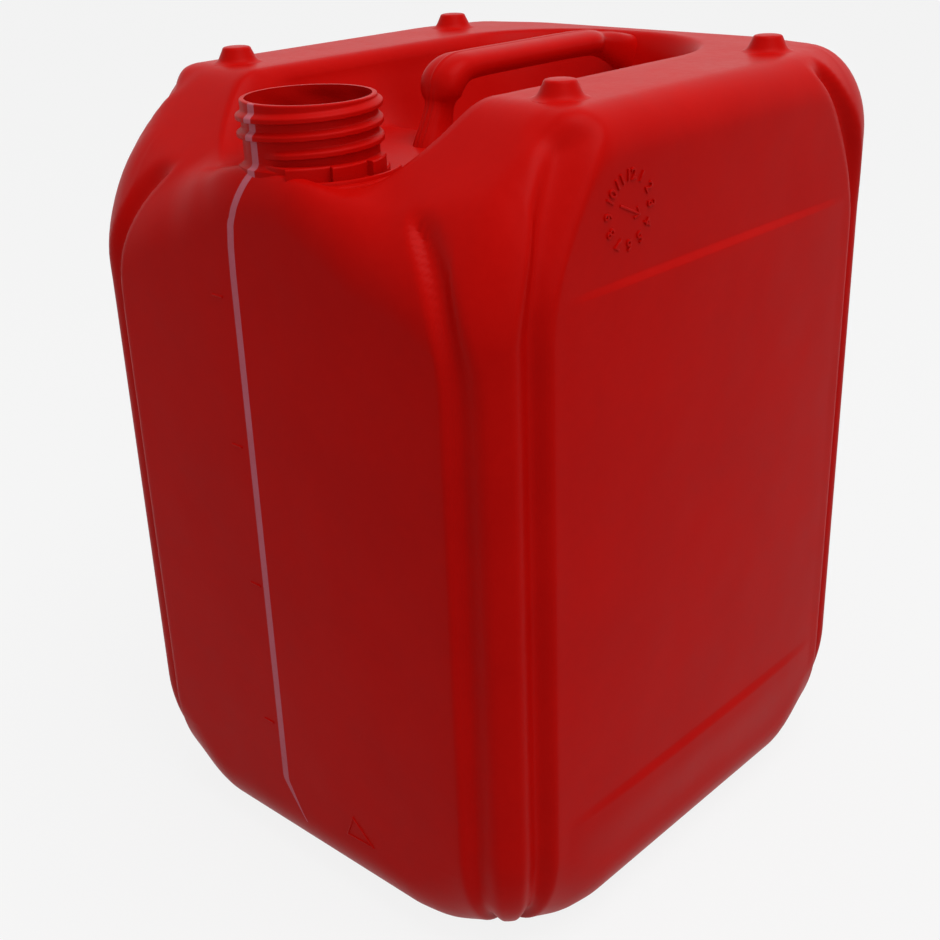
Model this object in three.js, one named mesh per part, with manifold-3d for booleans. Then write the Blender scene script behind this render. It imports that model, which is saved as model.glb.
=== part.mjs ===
// Stackable plastic jerrycan: a blow-moulded fluted body with an open threaded neck, a moulded carry
// handle in a valley between two stacking ridges, four stacking studs and a translucent level stripe.
// Millimetres, +Z up, front (the neck's side) towards -Y, origin at the middle of the base.
import * as THREE from 'three';
import { mergeVertices } from 'three/addons/utils/BufferGeometryUtils.js';
import Module from 'manifold-3d';

const wasm = await Module();
wasm.setup();

// Overall sizes of the body
const HALF_WIDTH = 130.3;
const HALF_DEPTH = 140.6;
const RIDGE_HEIGHT = 371;
const WALL = 2.2;
const SEAT_GAP = 0.3;
const CORNER_RADIUS = 32;

// Base: rounded lower edge, taller at the corners, flat band to stand on and the push-up inside it
const BASE_RADIUS = 30;
const BASE_CORNER_RISE = 62;
const BASE_CORNER_SPAN = [14, 60];
const STAND_WIDTH = 18;
const PUSH_UP_RUN = 8;
const PUSH_UP_HEIGHT = 5;

// Rounded upper edge: how far it reaches in and down on the straight sides, at the corners, where its
// crest keeps a small radius, and beside the neck
const CORNER_CREST_RADIUS = 3;
const EDGE_SIDE = { reach: 19, drop: 19 };
const EDGE_CORNER = { reach: CORNER_RADIUS - CORNER_CREST_RADIUS, drop: 40 };
const EDGE_NECK = { reach: 14, drop: 26 };
const EDGE_CORNER_SPAN = [16, 62];
const EDGE_NECK_SPAN = [26, 78];

// The ridges' front ends slope down to the front face
const SLOPE_RUN = 66.6;
const SLOPE_START = SLOPE_RUN - HALF_DEPTH;
const SLOPE_BLEND = 16;
const SLOPE_FALL = 0.85;

// Vertical flutes on both sides of each corner column, placed along the wall from the corner's middle;
// each bends away from the corner and widens near the top and fades out at its tip
const FLUTE_DEPTH = 3.8;
const FLUTE_NEAR_WIDTH = 9.6;
const FLUTE_FAR_WIDTH = 7.6;
const FLUTE_PLACE = 16;
const END_FLUTE = { bendFrom: RIDGE_HEIGHT - 109, tip: RIDGE_HEIGHT - 32, fade: 24, drift: 14, spread: 0.3 };
const SIDE_FLUTE = { bendFrom: RIDGE_HEIGHT - 86, tip: RIDGE_HEIGHT - 2, fade: 20, drift: 40, spread: 0.6 };

// Label panels on the two sides, bowed and proud between two ledges
const PANEL_BOTTOM = 67.5;
const PANEL_TOP = RIDGE_HEIGHT - 66;
const PANEL_HALF_LENGTH = HALF_DEPTH - 38.6;
const PANEL_CROWN = 2.4;
const PANEL_LEDGE = 3;

// Heights where the moulding is divided into base pan, walls and shoulder
const BASE_PAN_TOP = 46;
const SHOULDER_BOTTOM = PANEL_TOP - 27;

// Valley between the ridges, open to the neck at the front and closed by a round pocket at the rear; along
// the handle its walls roll down to a crease before they slope to the floor
const RIDGE_WIDTH = 57.3;
const VALLEY_HALF_WIDTH = HALF_WIDTH - RIDGE_WIDTH;
const VALLEY_FRONT = 6 - HALF_DEPTH;
const VALLEY_REAR = HALF_DEPTH - 25.6;
const VALLEY_MIDDLE = (VALLEY_FRONT + VALLEY_REAR) / 2;
const VALLEY_FRONT_RADIUS = VALLEY_HALF_WIDTH - 0.5;
const VALLEY_REAR_RADIUS = VALLEY_HALF_WIDTH - 7;
const VALLEY_WALL_RUN = 25;
const VALLEY_DEPTH = 32.5;
const CREASE_SHARE = 0.3;
const CREASE_DROP = 8;
const CREASE_START = [-82, -58];
const CREASE_END = [58, 92];
const CREASE_EASE = 1.7;
const LIP_LIMIT = 0.985;
const DECK_HEIGHT = RIDGE_HEIGHT - VALLEY_DEPTH;

// Neck: tube, collar, ratchet lugs, and the low pedestal under it that rises to an apron before the neck
const NECK_FROM_FRONT = 34.6;
const NECK_Y = NECK_FROM_FRONT - HALF_DEPTH;
const NECK_BORE_RADIUS = 25.9;
const NECK_WALL = 2.3;
const NECK_ROOT_RADIUS = NECK_BORE_RADIUS + NECK_WALL;
const NECK_HEIGHT = 31.5;
const NECK_RIM_HEIGHT = DECK_HEIGHT + NECK_HEIGHT;
const NECK_RIM_ROUND = 0.8;
const COLLAR_RADIUS = NECK_ROOT_RADIUS + 3.4;
const COLLAR_HEIGHT = 2.6;
const COLLAR_ROUND = 1;
const COLLAR_FRONT = 18;
const LUG_RADIUS = NECK_ROOT_RADIUS + 5.8;
const LUG_FOOT_RADIUS = COLLAR_RADIUS - 1.4;
const LUG_HEIGHT = 8.2;
const LUG_FIRST_ANGLE = -60;
const LUG_SPAN = 31.5;
const LUG_GAP = 1;
const LUG_COUNT = 3;
const PEDESTAL_RADIUS = COLLAR_RADIUS + 4.4;
const PEDESTAL_FADE = 24;
const PEDESTAL_FALL = 10;
const PEDESTAL_BLEND = 10;
const APRON_RISE = 9;
const APRON_SPAN = [12, 32];
const APRON_SIDES = [12, 38];
const APRON_RIGHT = 1.6;
const NECK_SEGMENTS = 48;

// Handle, from its front foot over the bar to the rear pocket wall
const HANDLE_TOP = RIDGE_HEIGHT + 5;
const BAR_HALF_WIDTH = 11;
const BAR_HALF_HEIGHT = 5.9;
const WEB_HALF_WIDTH = 4.6;
const HANDLE_FOOT_Y = NECK_Y + 72;
const HANDLE_ELBOW_Y = HANDLE_FOOT_Y + 10.5;
const BAR_END_Y = VALLEY_REAR - 37;
const HANDLE_STEPS = 28;
const HANDLE_SIDES = 16;
const HANDLE_SQUARENESS = 0.8;
const HAND_DIP = 13;
const HAND_DIP_SPAN = [HANDLE_FOOT_Y + 18, HANDLE_FOOT_Y + 42];

// Stacking studs on the ridges
const STUD_FROM_SIDE = 33.3;
const STUD_FROM_FRONT = 76.6;
const STUD_FROM_REAR = 57.6;
const STUD_HEIGHT = 7;
const STUD_BASE_RADIUS = 8.6;
const STUD_TOP_RADIUS = 6;
const STUD_ROUND = 1.6;
const STUD_SEGMENTS = 20;

// Level stripe down the front, left of the middle, drawn in to the neck at the top
const STRIPE_WIDTH = 4.6;
const STRIPE_X = -16;
const STRIPE_NECK_X = 1.2;
const STRIPE_BOTTOM = 38;
const STRIPE_EDGE_HEIGHT = DECK_HEIGHT - 9.5;
const STRIPE_EDGE_SHARE = 0.28;

// Raised graduation ticks on the front wall
const TICK_PLACES = [[-28.5, 289], [-26, 220.5], [-23.5, 151.6], [-24.5, 76.2]];
const TICK_SIZE = { width: 7, height: 1.2, proud: 0.6 };

// How far cutters and sunk ends run past the faces that they cut or meet
const OVERRUN = 4;

const RED = { color: 0xa81016, roughness: 0.45, metalness: 0 };
const STRIPE_PINK = { color: 0xb9848c, roughness: 0.35, metalness: 0 };

const { lerp, clamp, smoothstep, degToRad } = THREE.MathUtils;

// Closed solid from a geometry, turned right side out
function solidOf(geometry) {
  const bare = geometry.index ? geometry.toNonIndexed() : geometry.clone();
  bare.deleteAttribute('normal');
  bare.deleteAttribute('uv');
  const merged = mergeVertices(bare, 1e-4);
  const position = merged.attributes.position;
  const index = merged.index.array;
  const kept = [];
  let volume = 0;
  const corner = [new THREE.Vector3(), new THREE.Vector3(), new THREE.Vector3()];
  for (let i = 0; i < index.length; i += 3) {
    const [a, b, c] = index.slice(i, i + 3);
    if (a === b || b === c || c === a) continue;
    [a, b, c].forEach((vertex, k) => corner[k].fromBufferAttribute(position, vertex));
    volume += corner[0].dot(corner[1].clone().cross(corner[2]));
    kept.push(a, b, c);
  }
  if (volume < 0) kept.reverse();
  const triVerts = new Uint32Array(kept);
  const vertProperties = new Float32Array(position.array);
  return new wasm.Manifold(new wasm.Mesh({ numProp: 3, vertProperties, triVerts }));
}

// Geometry of a solid for a mesh
function geometryOf(solid) {
  const mesh = solid.getMesh();
  const geometry = new THREE.BufferGeometry();
  geometry.setAttribute('position', new THREE.BufferAttribute(mesh.vertProperties, 3));
  geometry.setIndex(new THREE.BufferAttribute(mesh.triVerts, 1));
  geometry.computeVertexNormals();
  return geometry;
}

// Closed skin through a stack of rings with equally many points, with a fan at each end
function loft(rings) {
  const count = rings[0].length;
  const last = rings.length - 1;
  const middle = (ring) => [0, 1, 2].map((axis) => ring.reduce((sum, point) => sum + point[axis], 0) / count);
  const positions = [...rings.flat(2), ...middle(rings[0]), ...middle(rings[last])];
  const bottomMiddle = rings.length * count;
  const faces = [];
  for (let i = 0; i < count; i += 1) {
    const next = (i + 1) % count;
    faces.push(bottomMiddle, next, i);
    for (let row = 0; row < last; row += 1) {
      const low = row * count;
      const high = low + count;
      faces.push(low + i, low + next, high + next, low + i, high + next, high + i);
    }
    faces.push(bottomMiddle + 1, last * count + i, last * count + next);
  }
  const geometry = new THREE.BufferGeometry();
  geometry.setAttribute('position', new THREE.Float32BufferAttribute(positions, 3));
  geometry.setIndex(faces);
  return geometry;
}

// Stations round the body's outline, counter-clockwise from the left end of its front; the same station
// of two outlines faces the same way. s is the distance from the nearest corner's middle.
const CORNER_STEPS = 12;
const FRONT_STEPS = 12;
const FLAT_STEPS = 10;

function outlineStations(inset) {
  const radius = CORNER_RADIUS - inset;
  const [cornerX, cornerY] = [HALF_WIDTH - CORNER_RADIUS, HALF_DEPTH - CORNER_RADIUS];
  const corners = [
    { x: cornerX, y: -cornerY, from: -90 },
    { x: cornerX, y: cornerY, from: 0 },
    { x: -cornerX, y: cornerY, from: 90 },
    { x: -cornerX, y: -cornerY, from: 180 },
  ];
  const stations = [];
  corners.forEach((corner, k) => {
    const before = corners[(k + 3) % 4];
    const angle = degToRad(corner.from);
    const [nx, ny] = [Math.cos(angle), Math.sin(angle)];
    const length = Math.hypot(corner.x - before.x, corner.y - before.y);
    const onEnd = k % 2 === 0;
    const steps = k === 0 ? FRONT_STEPS : FLAT_STEPS;
    for (let i = 0; i < steps; i += 1) {
      const share = 0.5 - 0.5 * Math.cos((Math.PI * i) / steps);
      const s = (radius * Math.PI) / 4 + Math.min(share, 1 - share) * length;
      const x = lerp(before.x, corner.x, share) + nx * radius;
      const y = lerp(before.y, corner.y, share) + ny * radius;
      stations.push({ x, y, nx, ny, s, onEnd });
    }
    for (let i = 0; i < CORNER_STEPS; i += 1) {
      const turn = (90 * i) / CORNER_STEPS;
      const turned = degToRad(corner.from + turn);
      const [outX, outY] = [Math.cos(turned), Math.sin(turned)];
      const s = radius * degToRad(Math.abs(turn - 45));
      const facesEnd = onEnd ? turn < 45 : turn > 45;
      const place = { x: corner.x + outX * radius, y: corner.y + outY * radius };
      stations.push({ ...place, nx: outX, ny: outY, s, onEnd: facesEnd });
    }
  });
  return stations;
}

// How deep the flute is at a station and height
function fluteDepth(station, z) {
  const flute = station.onEnd ? END_FLUTE : SIDE_FLUTE;
  const bend = clamp((z - flute.bendFrom) / (flute.tip - flute.bendFrom), 0, 1) ** 2;
  const off = station.s - FLUTE_PLACE - flute.drift * bend;
  const width = (off < 0 ? FLUTE_NEAR_WIDTH : FLUTE_FAR_WIDTH) * (1 + flute.spread * bend);
  const across = clamp(Math.abs(off) / width, 0, 1);
  const along = 1 - smoothstep(z, flute.tip - flute.fade, flute.tip);
  return FLUTE_DEPTH * along * (0.5 + 0.5 * Math.cos(Math.PI * across));
}

// How far the label panel stands proud at a station and height
function panelCrown(station, z) {
  if (Math.abs(station.nx) < 0.99) return 0;
  const bow = 1 - clamp(Math.abs(station.y) / PANEL_HALF_LENGTH, 0, 1) ** 2;
  const up = smoothstep(z, PANEL_BOTTOM - PANEL_LEDGE / 2, PANEL_BOTTOM + PANEL_LEDGE / 2);
  const down = 1 - smoothstep(z, PANEL_TOP - PANEL_LEDGE / 2, PANEL_TOP + PANEL_LEDGE / 2);
  return PANEL_CROWN * bow * up * down;
}

// Height of the top before its edges are rounded: flat ridges and front slope, joined softly to the neck's
// pedestal with its apron
function topHeight(x, y) {
  const past = Math.max(SLOPE_START - y, 0);
  const blended = past < SLOPE_BLEND ? past ** 2 / (2 * SLOPE_BLEND) : past - SLOPE_BLEND / 2;
  const ridge = RIDGE_HEIGHT - SLOPE_FALL * blended;
  const fromNeck = Math.hypot(x, y - NECK_Y);
  const fall = PEDESTAL_FALL * smoothstep(fromNeck, PEDESTAL_RADIUS, PEDESTAL_RADIUS + PEDESTAL_FADE);
  const beside = 1 - smoothstep(x > 0 ? x * APRON_RIGHT : -x, ...APRON_SIDES);
  const apron = APRON_RISE * beside * smoothstep(NECK_Y - y, ...APRON_SPAN);
  const pedestal = DECK_HEIGHT - fall + apron;
  const near = Math.max(PEDESTAL_BLEND - Math.abs(ridge - pedestal), 0) / PEDESTAL_BLEND;
  return Math.max(ridge, pedestal) + (near ** 2 * PEDESTAL_BLEND) / 4;
}

// Distance in plan from the valley's lip, negative inside
function valleyDistance(x, y) {
  const radius = y < VALLEY_MIDDLE ? VALLEY_FRONT_RADIUS : VALLEY_REAR_RADIUS;
  const across = Math.abs(x) - (VALLEY_HALF_WIDTH - radius);
  const along = Math.abs(y - VALLEY_MIDDLE) - ((VALLEY_REAR - VALLEY_FRONT) / 2 - radius);
  const outside = Math.hypot(Math.max(across, 0), Math.max(along, 0));
  return outside + Math.min(Math.max(across, along), 0) - radius;
}

// Point at a share of the way from the valley's middle to another point
const fromMiddle = ([x, y], share) => [x * share, lerp(VALLEY_MIDDLE, y, share)];

// Point on the way from the valley's middle to another point at the given distance from the lip
function pointByLip(end, distance) {
  let low = 0;
  let high = LIP_LIMIT;
  for (let step = 0; step < 40; step += 1) {
    const half = (low + high) / 2;
    const inside = valleyDistance(...fromMiddle(end, half)) < distance;
    low = inside ? half : low;
    high = inside ? high : half;
  }
  return fromMiddle(end, low);
}

// Height of the valley's floor, lower under the handle to clear a hand
const floorHeight = (y) => DECK_HEIGHT - HAND_DIP * smoothstep(y, ...HAND_DIP_SPAN);

// Reach and drop of the rounded upper edge at a station
function edgeAt(station) {
  const corner = 1 - smoothstep(station.s, ...EDGE_CORNER_SPAN);
  const neck = station.ny < -0.99 ? 1 - smoothstep(Math.abs(station.x), ...EDGE_NECK_SPAN) : 0;
  const at = (key) => lerp(lerp(EDGE_SIDE[key], EDGE_CORNER[key], corner), EDGE_NECK[key], neck);
  return { reach: at('reach'), drop: at('drop') };
}

// The body's skin, moved in by an inset on all sides, as a closed solid from the base's middle up over
// the walls and the rounded edges and down into the valley
function bodySkin(inset) {
  const outline = outlineStations(inset);
  const baseRadius = BASE_RADIUS - inset;
  const moved = (station, out, z) => [station.x + station.nx * out, station.y + station.ny * out, z];
  const edges = outlineStations(0).map((station) => {
    const { reach, drop } = edgeAt(station);
    return { reach: reach - inset, drop: drop - inset, start: topHeight(station.x, station.y) - drop };
  });
  const edgeEnds = outline.map((station, i) => moved(station, -edges[i].reach, 0));
  const lip = edgeEnds.map((end) => pointByLip(end, inset));
  const foot = edgeEnds.map((end) => pointByLip(end, inset - VALLEY_WALL_RUN));

  const baseRing = (band, rise) => outline.map((station) => {
    const [x, y] = moved(station, -baseRadius, 0);
    const shareX = 1 - band / (HALF_WIDTH - BASE_RADIUS);
    const shareY = 1 - band / (HALF_DEPTH - BASE_RADIUS);
    return [x * shareX, y * shareY, inset + rise];
  });
  const filletRing = (angle) => outline.map((station) => {
    const a = degToRad(angle);
    const corner = 1 - smoothstep(station.s, ...BASE_CORNER_SPAN);
    const z = inset + (lerp(BASE_RADIUS, BASE_CORNER_RISE, corner) - inset) * (1 - Math.sin(a));
    return moved(station, baseRadius * (Math.cos(a) - 1) - fluteDepth(station, z) * Math.cos(a), z);
  });
  const wallRing = (height) => outline.map((station, i) => {
    const share = (height - SHOULDER_BOTTOM) / (RIDGE_HEIGHT - EDGE_SIDE.drop - SHOULDER_BOTTOM);
    const z = share < 0 ? height : lerp(SHOULDER_BOTTOM, edges[i].start, share);
    return moved(station, panelCrown(station, z) - fluteDepth(station, z), z);
  });
  const edgeRing = (angle) => outline.map((station, i) => {
    const a = degToRad(angle);
    const { reach, drop } = edges[i];
    const [x, y] = moved(station, reach * (Math.cos(a) - 1), 0);
    const z = topHeight(x, y) - inset - drop * (1 - Math.sin(a));
    return moved(station, reach * (Math.cos(a) - 1) - fluteDepth(station, z) * Math.cos(a), z);
  });
  const ridgeRing = (share) => edgeEnds.map((end, i) => {
    const [x, y] = [0, 1].map((axis) => lerp(end[axis], lip[i][axis], share));
    return [x, y, topHeight(x, y) - inset];
  });
  const valleyRing = (share) => lip.map((point, i) => {
    const high = topHeight(...point);
    const low = Math.min(floorHeight(foot[i][1]), high);
    const creased = smoothstep(point[1], ...CREASE_START) * (1 - smoothstep(point[1], ...CREASE_END));
    const roll = CREASE_DROP * (1 - Math.sqrt(1 - Math.min(share / CREASE_SHARE, 1) ** 2));
    const down = Math.max(share - CREASE_SHARE, 0) / (1 - CREASE_SHARE);
    const slope = Math.max(high - CREASE_DROP - low, 0) * (1 - (1 - down) ** CREASE_EASE);
    const rolled = Math.max(high - roll - slope, low);
    const [x, y] = [0, 1].map((axis) => lerp(point[axis], foot[i][axis], share));
    return [x, y, lerp(lerp(high, low, smoothstep(share, 0, 1)), rolled, creased) - inset];
  });
  const floorRing = (share) => foot.map((end) => {
    const [x, y] = fromMiddle(end, share);
    return [x, y, floorHeight(y) - inset];
  });

  const ledgeRows = [PANEL_BOTTOM, PANEL_TOP].flatMap((z) => [z - PANEL_LEDGE / 2, z + PANEL_LEDGE / 2]);
  const upperRow = (PANEL_TOP + RIDGE_HEIGHT - EDGE_SIDE.drop) / 2;
  const panelRow = (PANEL_BOTTOM + PANEL_TOP) / 2;
  const bendRows = [END_FLUTE.bendFrom, SIDE_FLUTE.bendFrom];
  const wallRows = [...ledgeRows, panelRow, ...bendRows, upperRow].sort((a, b) => a - b);
  return solidOf(loft([
    baseRing(STAND_WIDTH + PUSH_UP_RUN, PUSH_UP_HEIGHT),
    baseRing(STAND_WIDTH, 0),
    baseRing(0, 0),
    ...[68, 45, 22, 0].map(filletRing),
    ...wallRows.map(wallRing),
    ...[0, 22, 45, 68, 90].map(edgeRing),
    ...[0.4, 0.75].map(ridgeRing),
    ...[0, 0.2, CREASE_SHARE, 0.6, 1].map(valleyRing),
    floorRing(0.5),
  ]));
}

// Box between two corners
function boxSolid(low, high) {
  const size = high.map((value, axis) => value - low[axis]);
  const geometry = new THREE.BoxGeometry(...size);
  geometry.translate(...low.map((value, axis) => value + size[axis] / 2));
  return solidOf(geometry);
}

// Prism of a flat outline of [x, y] points, raised along its own third axis
function prism(outline, depth) {
  const shape = new THREE.Shape(outline.map(([x, y]) => new THREE.Vector2(x, y)));
  return new THREE.ExtrudeGeometry(shape, { depth, bevelEnabled: false });
}

// Solid of revolution about a vertical line through (x, y), from [radius, height] pairs
function turnedSolid(profile, segments, x, y) {
  const points = profile.map(([radius, height]) => new THREE.Vector2(radius, height));
  const geometry = new THREE.LatheGeometry(points, segments);
  geometry.rotateX(Math.PI / 2);
  geometry.translate(x, y, 0);
  return solidOf(geometry);
}

// Cutter along the stripe's run up the front wall and over its edge to the neck
function stripeRun(width) {
  const run = [
    [STRIPE_X, STRIPE_BOTTOM - (width - STRIPE_WIDTH) / 2],
    [STRIPE_X, PANEL_TOP],
    [lerp(STRIPE_X, STRIPE_NECK_X, STRIPE_EDGE_SHARE), STRIPE_EDGE_HEIGHT],
    [STRIPE_NECK_X, DECK_HEIGHT + APRON_RISE + OVERRUN],
  ];
  const left = run.map(([x, z]) => [x - width / 2, z]);
  const right = run.map(([x, z]) => [x + width / 2, z]).reverse();
  const front = -HALF_DEPTH - OVERRUN;
  const rear = NECK_Y - NECK_BORE_RADIUS + OVERRUN;
  const geometry = prism([...left, ...right], rear - front);
  geometry.rotateX(Math.PI / 2);
  geometry.translate(0, rear, 0);
  return solidOf(geometry);
}

// One ratchet lug: a step out to its full radius and a ramp back in round the neck
function lugSolid(startAngle) {
  const steps = 5;
  const polar = (radius, share) => {
    const angle = degToRad(startAngle + (LUG_SPAN - LUG_GAP) * share);
    return [radius * Math.cos(angle), radius * Math.sin(angle)];
  };
  const shares = Array.from({ length: steps + 1 }, (_, i) => i / steps);
  const ramp = shares.map((share) => polar(lerp(LUG_RADIUS, LUG_FOOT_RADIUS, share), share));
  const back = shares.map((share) => polar(NECK_BORE_RADIUS + NECK_WALL / 2, 1 - share));
  const geometry = prism([...ramp, ...back], LUG_HEIGHT);
  geometry.translate(0, NECK_Y, DECK_HEIGHT);
  return solidOf(geometry);
}

// Neck: tube with a rounded rim, a collar on the deck and two sets of ratchet lugs
function neckSolid() {
  const sunk = DECK_HEIGHT - PEDESTAL_FALL - OVERRUN;
  const tube = turnedSolid([
    [NECK_BORE_RADIUS, sunk],
    [NECK_ROOT_RADIUS, sunk],
    [NECK_ROOT_RADIUS, NECK_RIM_HEIGHT - NECK_RIM_ROUND],
    [NECK_ROOT_RADIUS - NECK_RIM_ROUND, NECK_RIM_HEIGHT],
    [NECK_BORE_RADIUS, NECK_RIM_HEIGHT],
    [NECK_BORE_RADIUS, sunk],
  ], NECK_SEGMENTS, 0, NECK_Y);
  const collarInner = NECK_BORE_RADIUS + NECK_WALL / 2;
  const collarTop = DECK_HEIGHT + COLLAR_HEIGHT;
  const collar = turnedSolid([
    [collarInner, DECK_HEIGHT],
    [COLLAR_RADIUS, DECK_HEIGHT],
    [COLLAR_RADIUS, collarTop - COLLAR_ROUND],
    [COLLAR_RADIUS - COLLAR_ROUND, collarTop],
    [collarInner, collarTop],
    [collarInner, DECK_HEIGHT],
  ], NECK_SEGMENTS, 0, NECK_Y);
  const behindApron = boxSolid(
    [-COLLAR_RADIUS - OVERRUN, NECK_Y - COLLAR_FRONT, DECK_HEIGHT - OVERRUN],
    [COLLAR_RADIUS + OVERRUN, NECK_Y + COLLAR_RADIUS + OVERRUN, collarTop + OVERRUN],
  );
  const starts = Array.from({ length: LUG_COUNT }, (_, k) => LUG_FIRST_ANGLE + k * LUG_SPAN);
  const lugs = [...starts, ...starts.map((angle) => angle + 180)].map(lugSolid);
  return lugs.reduce((neck, lug) => neck.add(lug), tube.add(collar.intersect(behindApron)));
}

// Handle: rounded sections along its middle line, pinched to thin webs at the front leg and the rear joint
function handleSolid() {
  const bar = HANDLE_TOP - BAR_HALF_HEIGHT;
  const web = WEB_HALF_WIDTH;
  const stations = [
    { y: HANDLE_FOOT_Y, z: DECK_HEIGHT - 6, across: web * 1.9, thick: 13 },
    { y: HANDLE_FOOT_Y + 1.5, z: DECK_HEIGHT + 3, across: web * 1.3, thick: 9.3 },
    { y: HANDLE_FOOT_Y + 3, z: DECK_HEIGHT + 10.5, across: web, thick: 6.2 },
    { y: HANDLE_FOOT_Y + 4, z: DECK_HEIGHT + 16.5, across: web, thick: 4.9 },
    { y: HANDLE_FOOT_Y + 5.5, z: DECK_HEIGHT + 22, across: BAR_HALF_WIDTH * 0.88, thick: 6.2 },
    { y: HANDLE_ELBOW_Y, z: bar - 3, across: BAR_HALF_WIDTH, thick: 6.6 },
    { y: HANDLE_ELBOW_Y + 11.5, z: bar - 0.2, across: BAR_HALF_WIDTH, thick: 6 },
    { y: (HANDLE_ELBOW_Y + BAR_END_Y) / 2, z: bar, across: BAR_HALF_WIDTH, thick: BAR_HALF_HEIGHT },
    { y: BAR_END_Y, z: bar - 0.8, across: BAR_HALF_WIDTH * 0.92, thick: BAR_HALF_HEIGHT },
    { y: BAR_END_Y + 9, z: bar - 3, across: web, thick: BAR_HALF_HEIGHT },
    { y: VALLEY_REAR + OVERRUN, z: bar - 7, across: web * 1.5, thick: BAR_HALF_HEIGHT * 1.4 },
  ];
  const places = stations.map(({ y, z }) => new THREE.Vector3(0, y, z));
  const sections = stations.map(({ across, thick }, i) => new THREE.Vector3(across, thick, i * 20));
  const middle = new THREE.CatmullRomCurve3(places, false, 'centripetal');
  const sizes = new THREE.CatmullRomCurve3(sections);
  const squared = (value) => Math.sign(value) * Math.abs(value) ** HANDLE_SQUARENESS;
  const rings = Array.from({ length: HANDLE_STEPS + 1 }, (_, k) => {
    const point = middle.getPoint(k / HANDLE_STEPS);
    const size = sizes.getPoint(k / HANDLE_STEPS);
    const along = middle.getTangent(k / HANDLE_STEPS);
    return Array.from({ length: HANDLE_SIDES }, (_unused, j) => {
      const angle = (2 * Math.PI * j) / HANDLE_SIDES;
      const rise = size.y * squared(Math.sin(angle));
      return [-size.x * squared(Math.cos(angle)), point.y - along.z * rise, point.z + along.y * rise];
    });
  });
  return solidOf(loft(rings));
}

// Stacking stud: a tapered round boss with a softened top, sunk to its seat on the ridge
function studSolid(x, y) {
  const top = RIDGE_HEIGHT + STUD_HEIGHT;
  const taper = (STUD_BASE_RADIUS - STUD_TOP_RADIUS) / STUD_HEIGHT;
  return turnedSolid([
    [0, RIDGE_HEIGHT - OVERRUN],
    [STUD_BASE_RADIUS, RIDGE_HEIGHT - OVERRUN],
    [STUD_BASE_RADIUS, RIDGE_HEIGHT],
    [STUD_TOP_RADIUS + taper * STUD_ROUND, top - STUD_ROUND],
    [STUD_TOP_RADIUS - STUD_ROUND / 2, top],
    [0, top],
  ], STUD_SEGMENTS, x, y);
}

// Raised tick on the front wall, sunk into it by half the wall
function tickSolid([x, z]) {
  const { width, height, proud } = TICK_SIZE;
  const low = [x - width / 2, -HALF_DEPTH - proud, z - height / 2];
  return boxSolid(low, [x + width / 2, WALL / 2 - HALF_DEPTH, z + height / 2]);
}

const neckHole = turnedSolid([
  [0, SHOULDER_BOTTOM],
  [NECK_BORE_RADIUS, SHOULDER_BOTTOM],
  [NECK_BORE_RADIUS, NECK_RIM_HEIGHT],
  [0, NECK_RIM_HEIGHT],
], NECK_SEGMENTS, 0, NECK_Y);
const shell = bodySkin(0).subtract(bodySkin(WALL)).subtract(neckHole);
const plainWalls = shell.subtract(stripeRun(STRIPE_WIDTH + 2 * SEAT_GAP));
const walls = TICK_PLACES.map(tickSolid).reduce((sum, tick) => sum.add(tick), plainWalls);
const beyond = HALF_WIDTH + HALF_DEPTH + RIDGE_HEIGHT;
const slab = (from, to) => boxSolid([-beyond, -beyond, from], [beyond, beyond, to]);
const seat = bodySkin(-SEAT_GAP);

const pieces = [
  ['base_pan', walls.intersect(slab(-beyond, BASE_PAN_TOP)), RED],
  ['body_walls', walls.intersect(slab(BASE_PAN_TOP, SHOULDER_BOTTOM)), RED],
  ['top_shoulder', walls.intersect(slab(SHOULDER_BOTTOM, beyond)), RED],
  ['view_stripe', shell.intersect(stripeRun(STRIPE_WIDTH)), STRIPE_PINK],
  ['neck_finish', neckSolid().subtract(seat), RED],
  ['carry_handle', handleSolid().subtract(seat), RED],
];
const studRows = { front: STUD_FROM_FRONT - HALF_DEPTH, rear: HALF_DEPTH - STUD_FROM_REAR };
const studSides = { left: STUD_FROM_SIDE - HALF_WIDTH, right: HALF_WIDTH - STUD_FROM_SIDE };
Object.entries(studRows).forEach(([row, y]) => {
  Object.entries(studSides).forEach(([side, x]) => {
    pieces.push([`stacking_stud_${row}_${side}`, studSolid(x, y).subtract(seat), RED]);
  });
});

const jerrycan = new THREE.Group();
jerrycan.name = 'jerrycan';
pieces.forEach(([name, solid, finish]) => {
  const mesh = new THREE.Mesh(geometryOf(solid), new THREE.MeshStandardMaterial(finish));
  mesh.name = name;
  jerrycan.add(mesh);
});

export default jerrycan;
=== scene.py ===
"""Looks of a stackable plastic jerrycan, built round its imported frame.

Shapes are worked out in millimetres in the part's own frame (+Z up, the neck towards -Y, the origin in the
middle of the base) and go into their meshes in metres.
"""

import logging
from dataclasses import dataclass, field
from enum import Enum

import bmesh
import bpy
import numpy as np
from mathutils import Matrix, Vector


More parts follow.
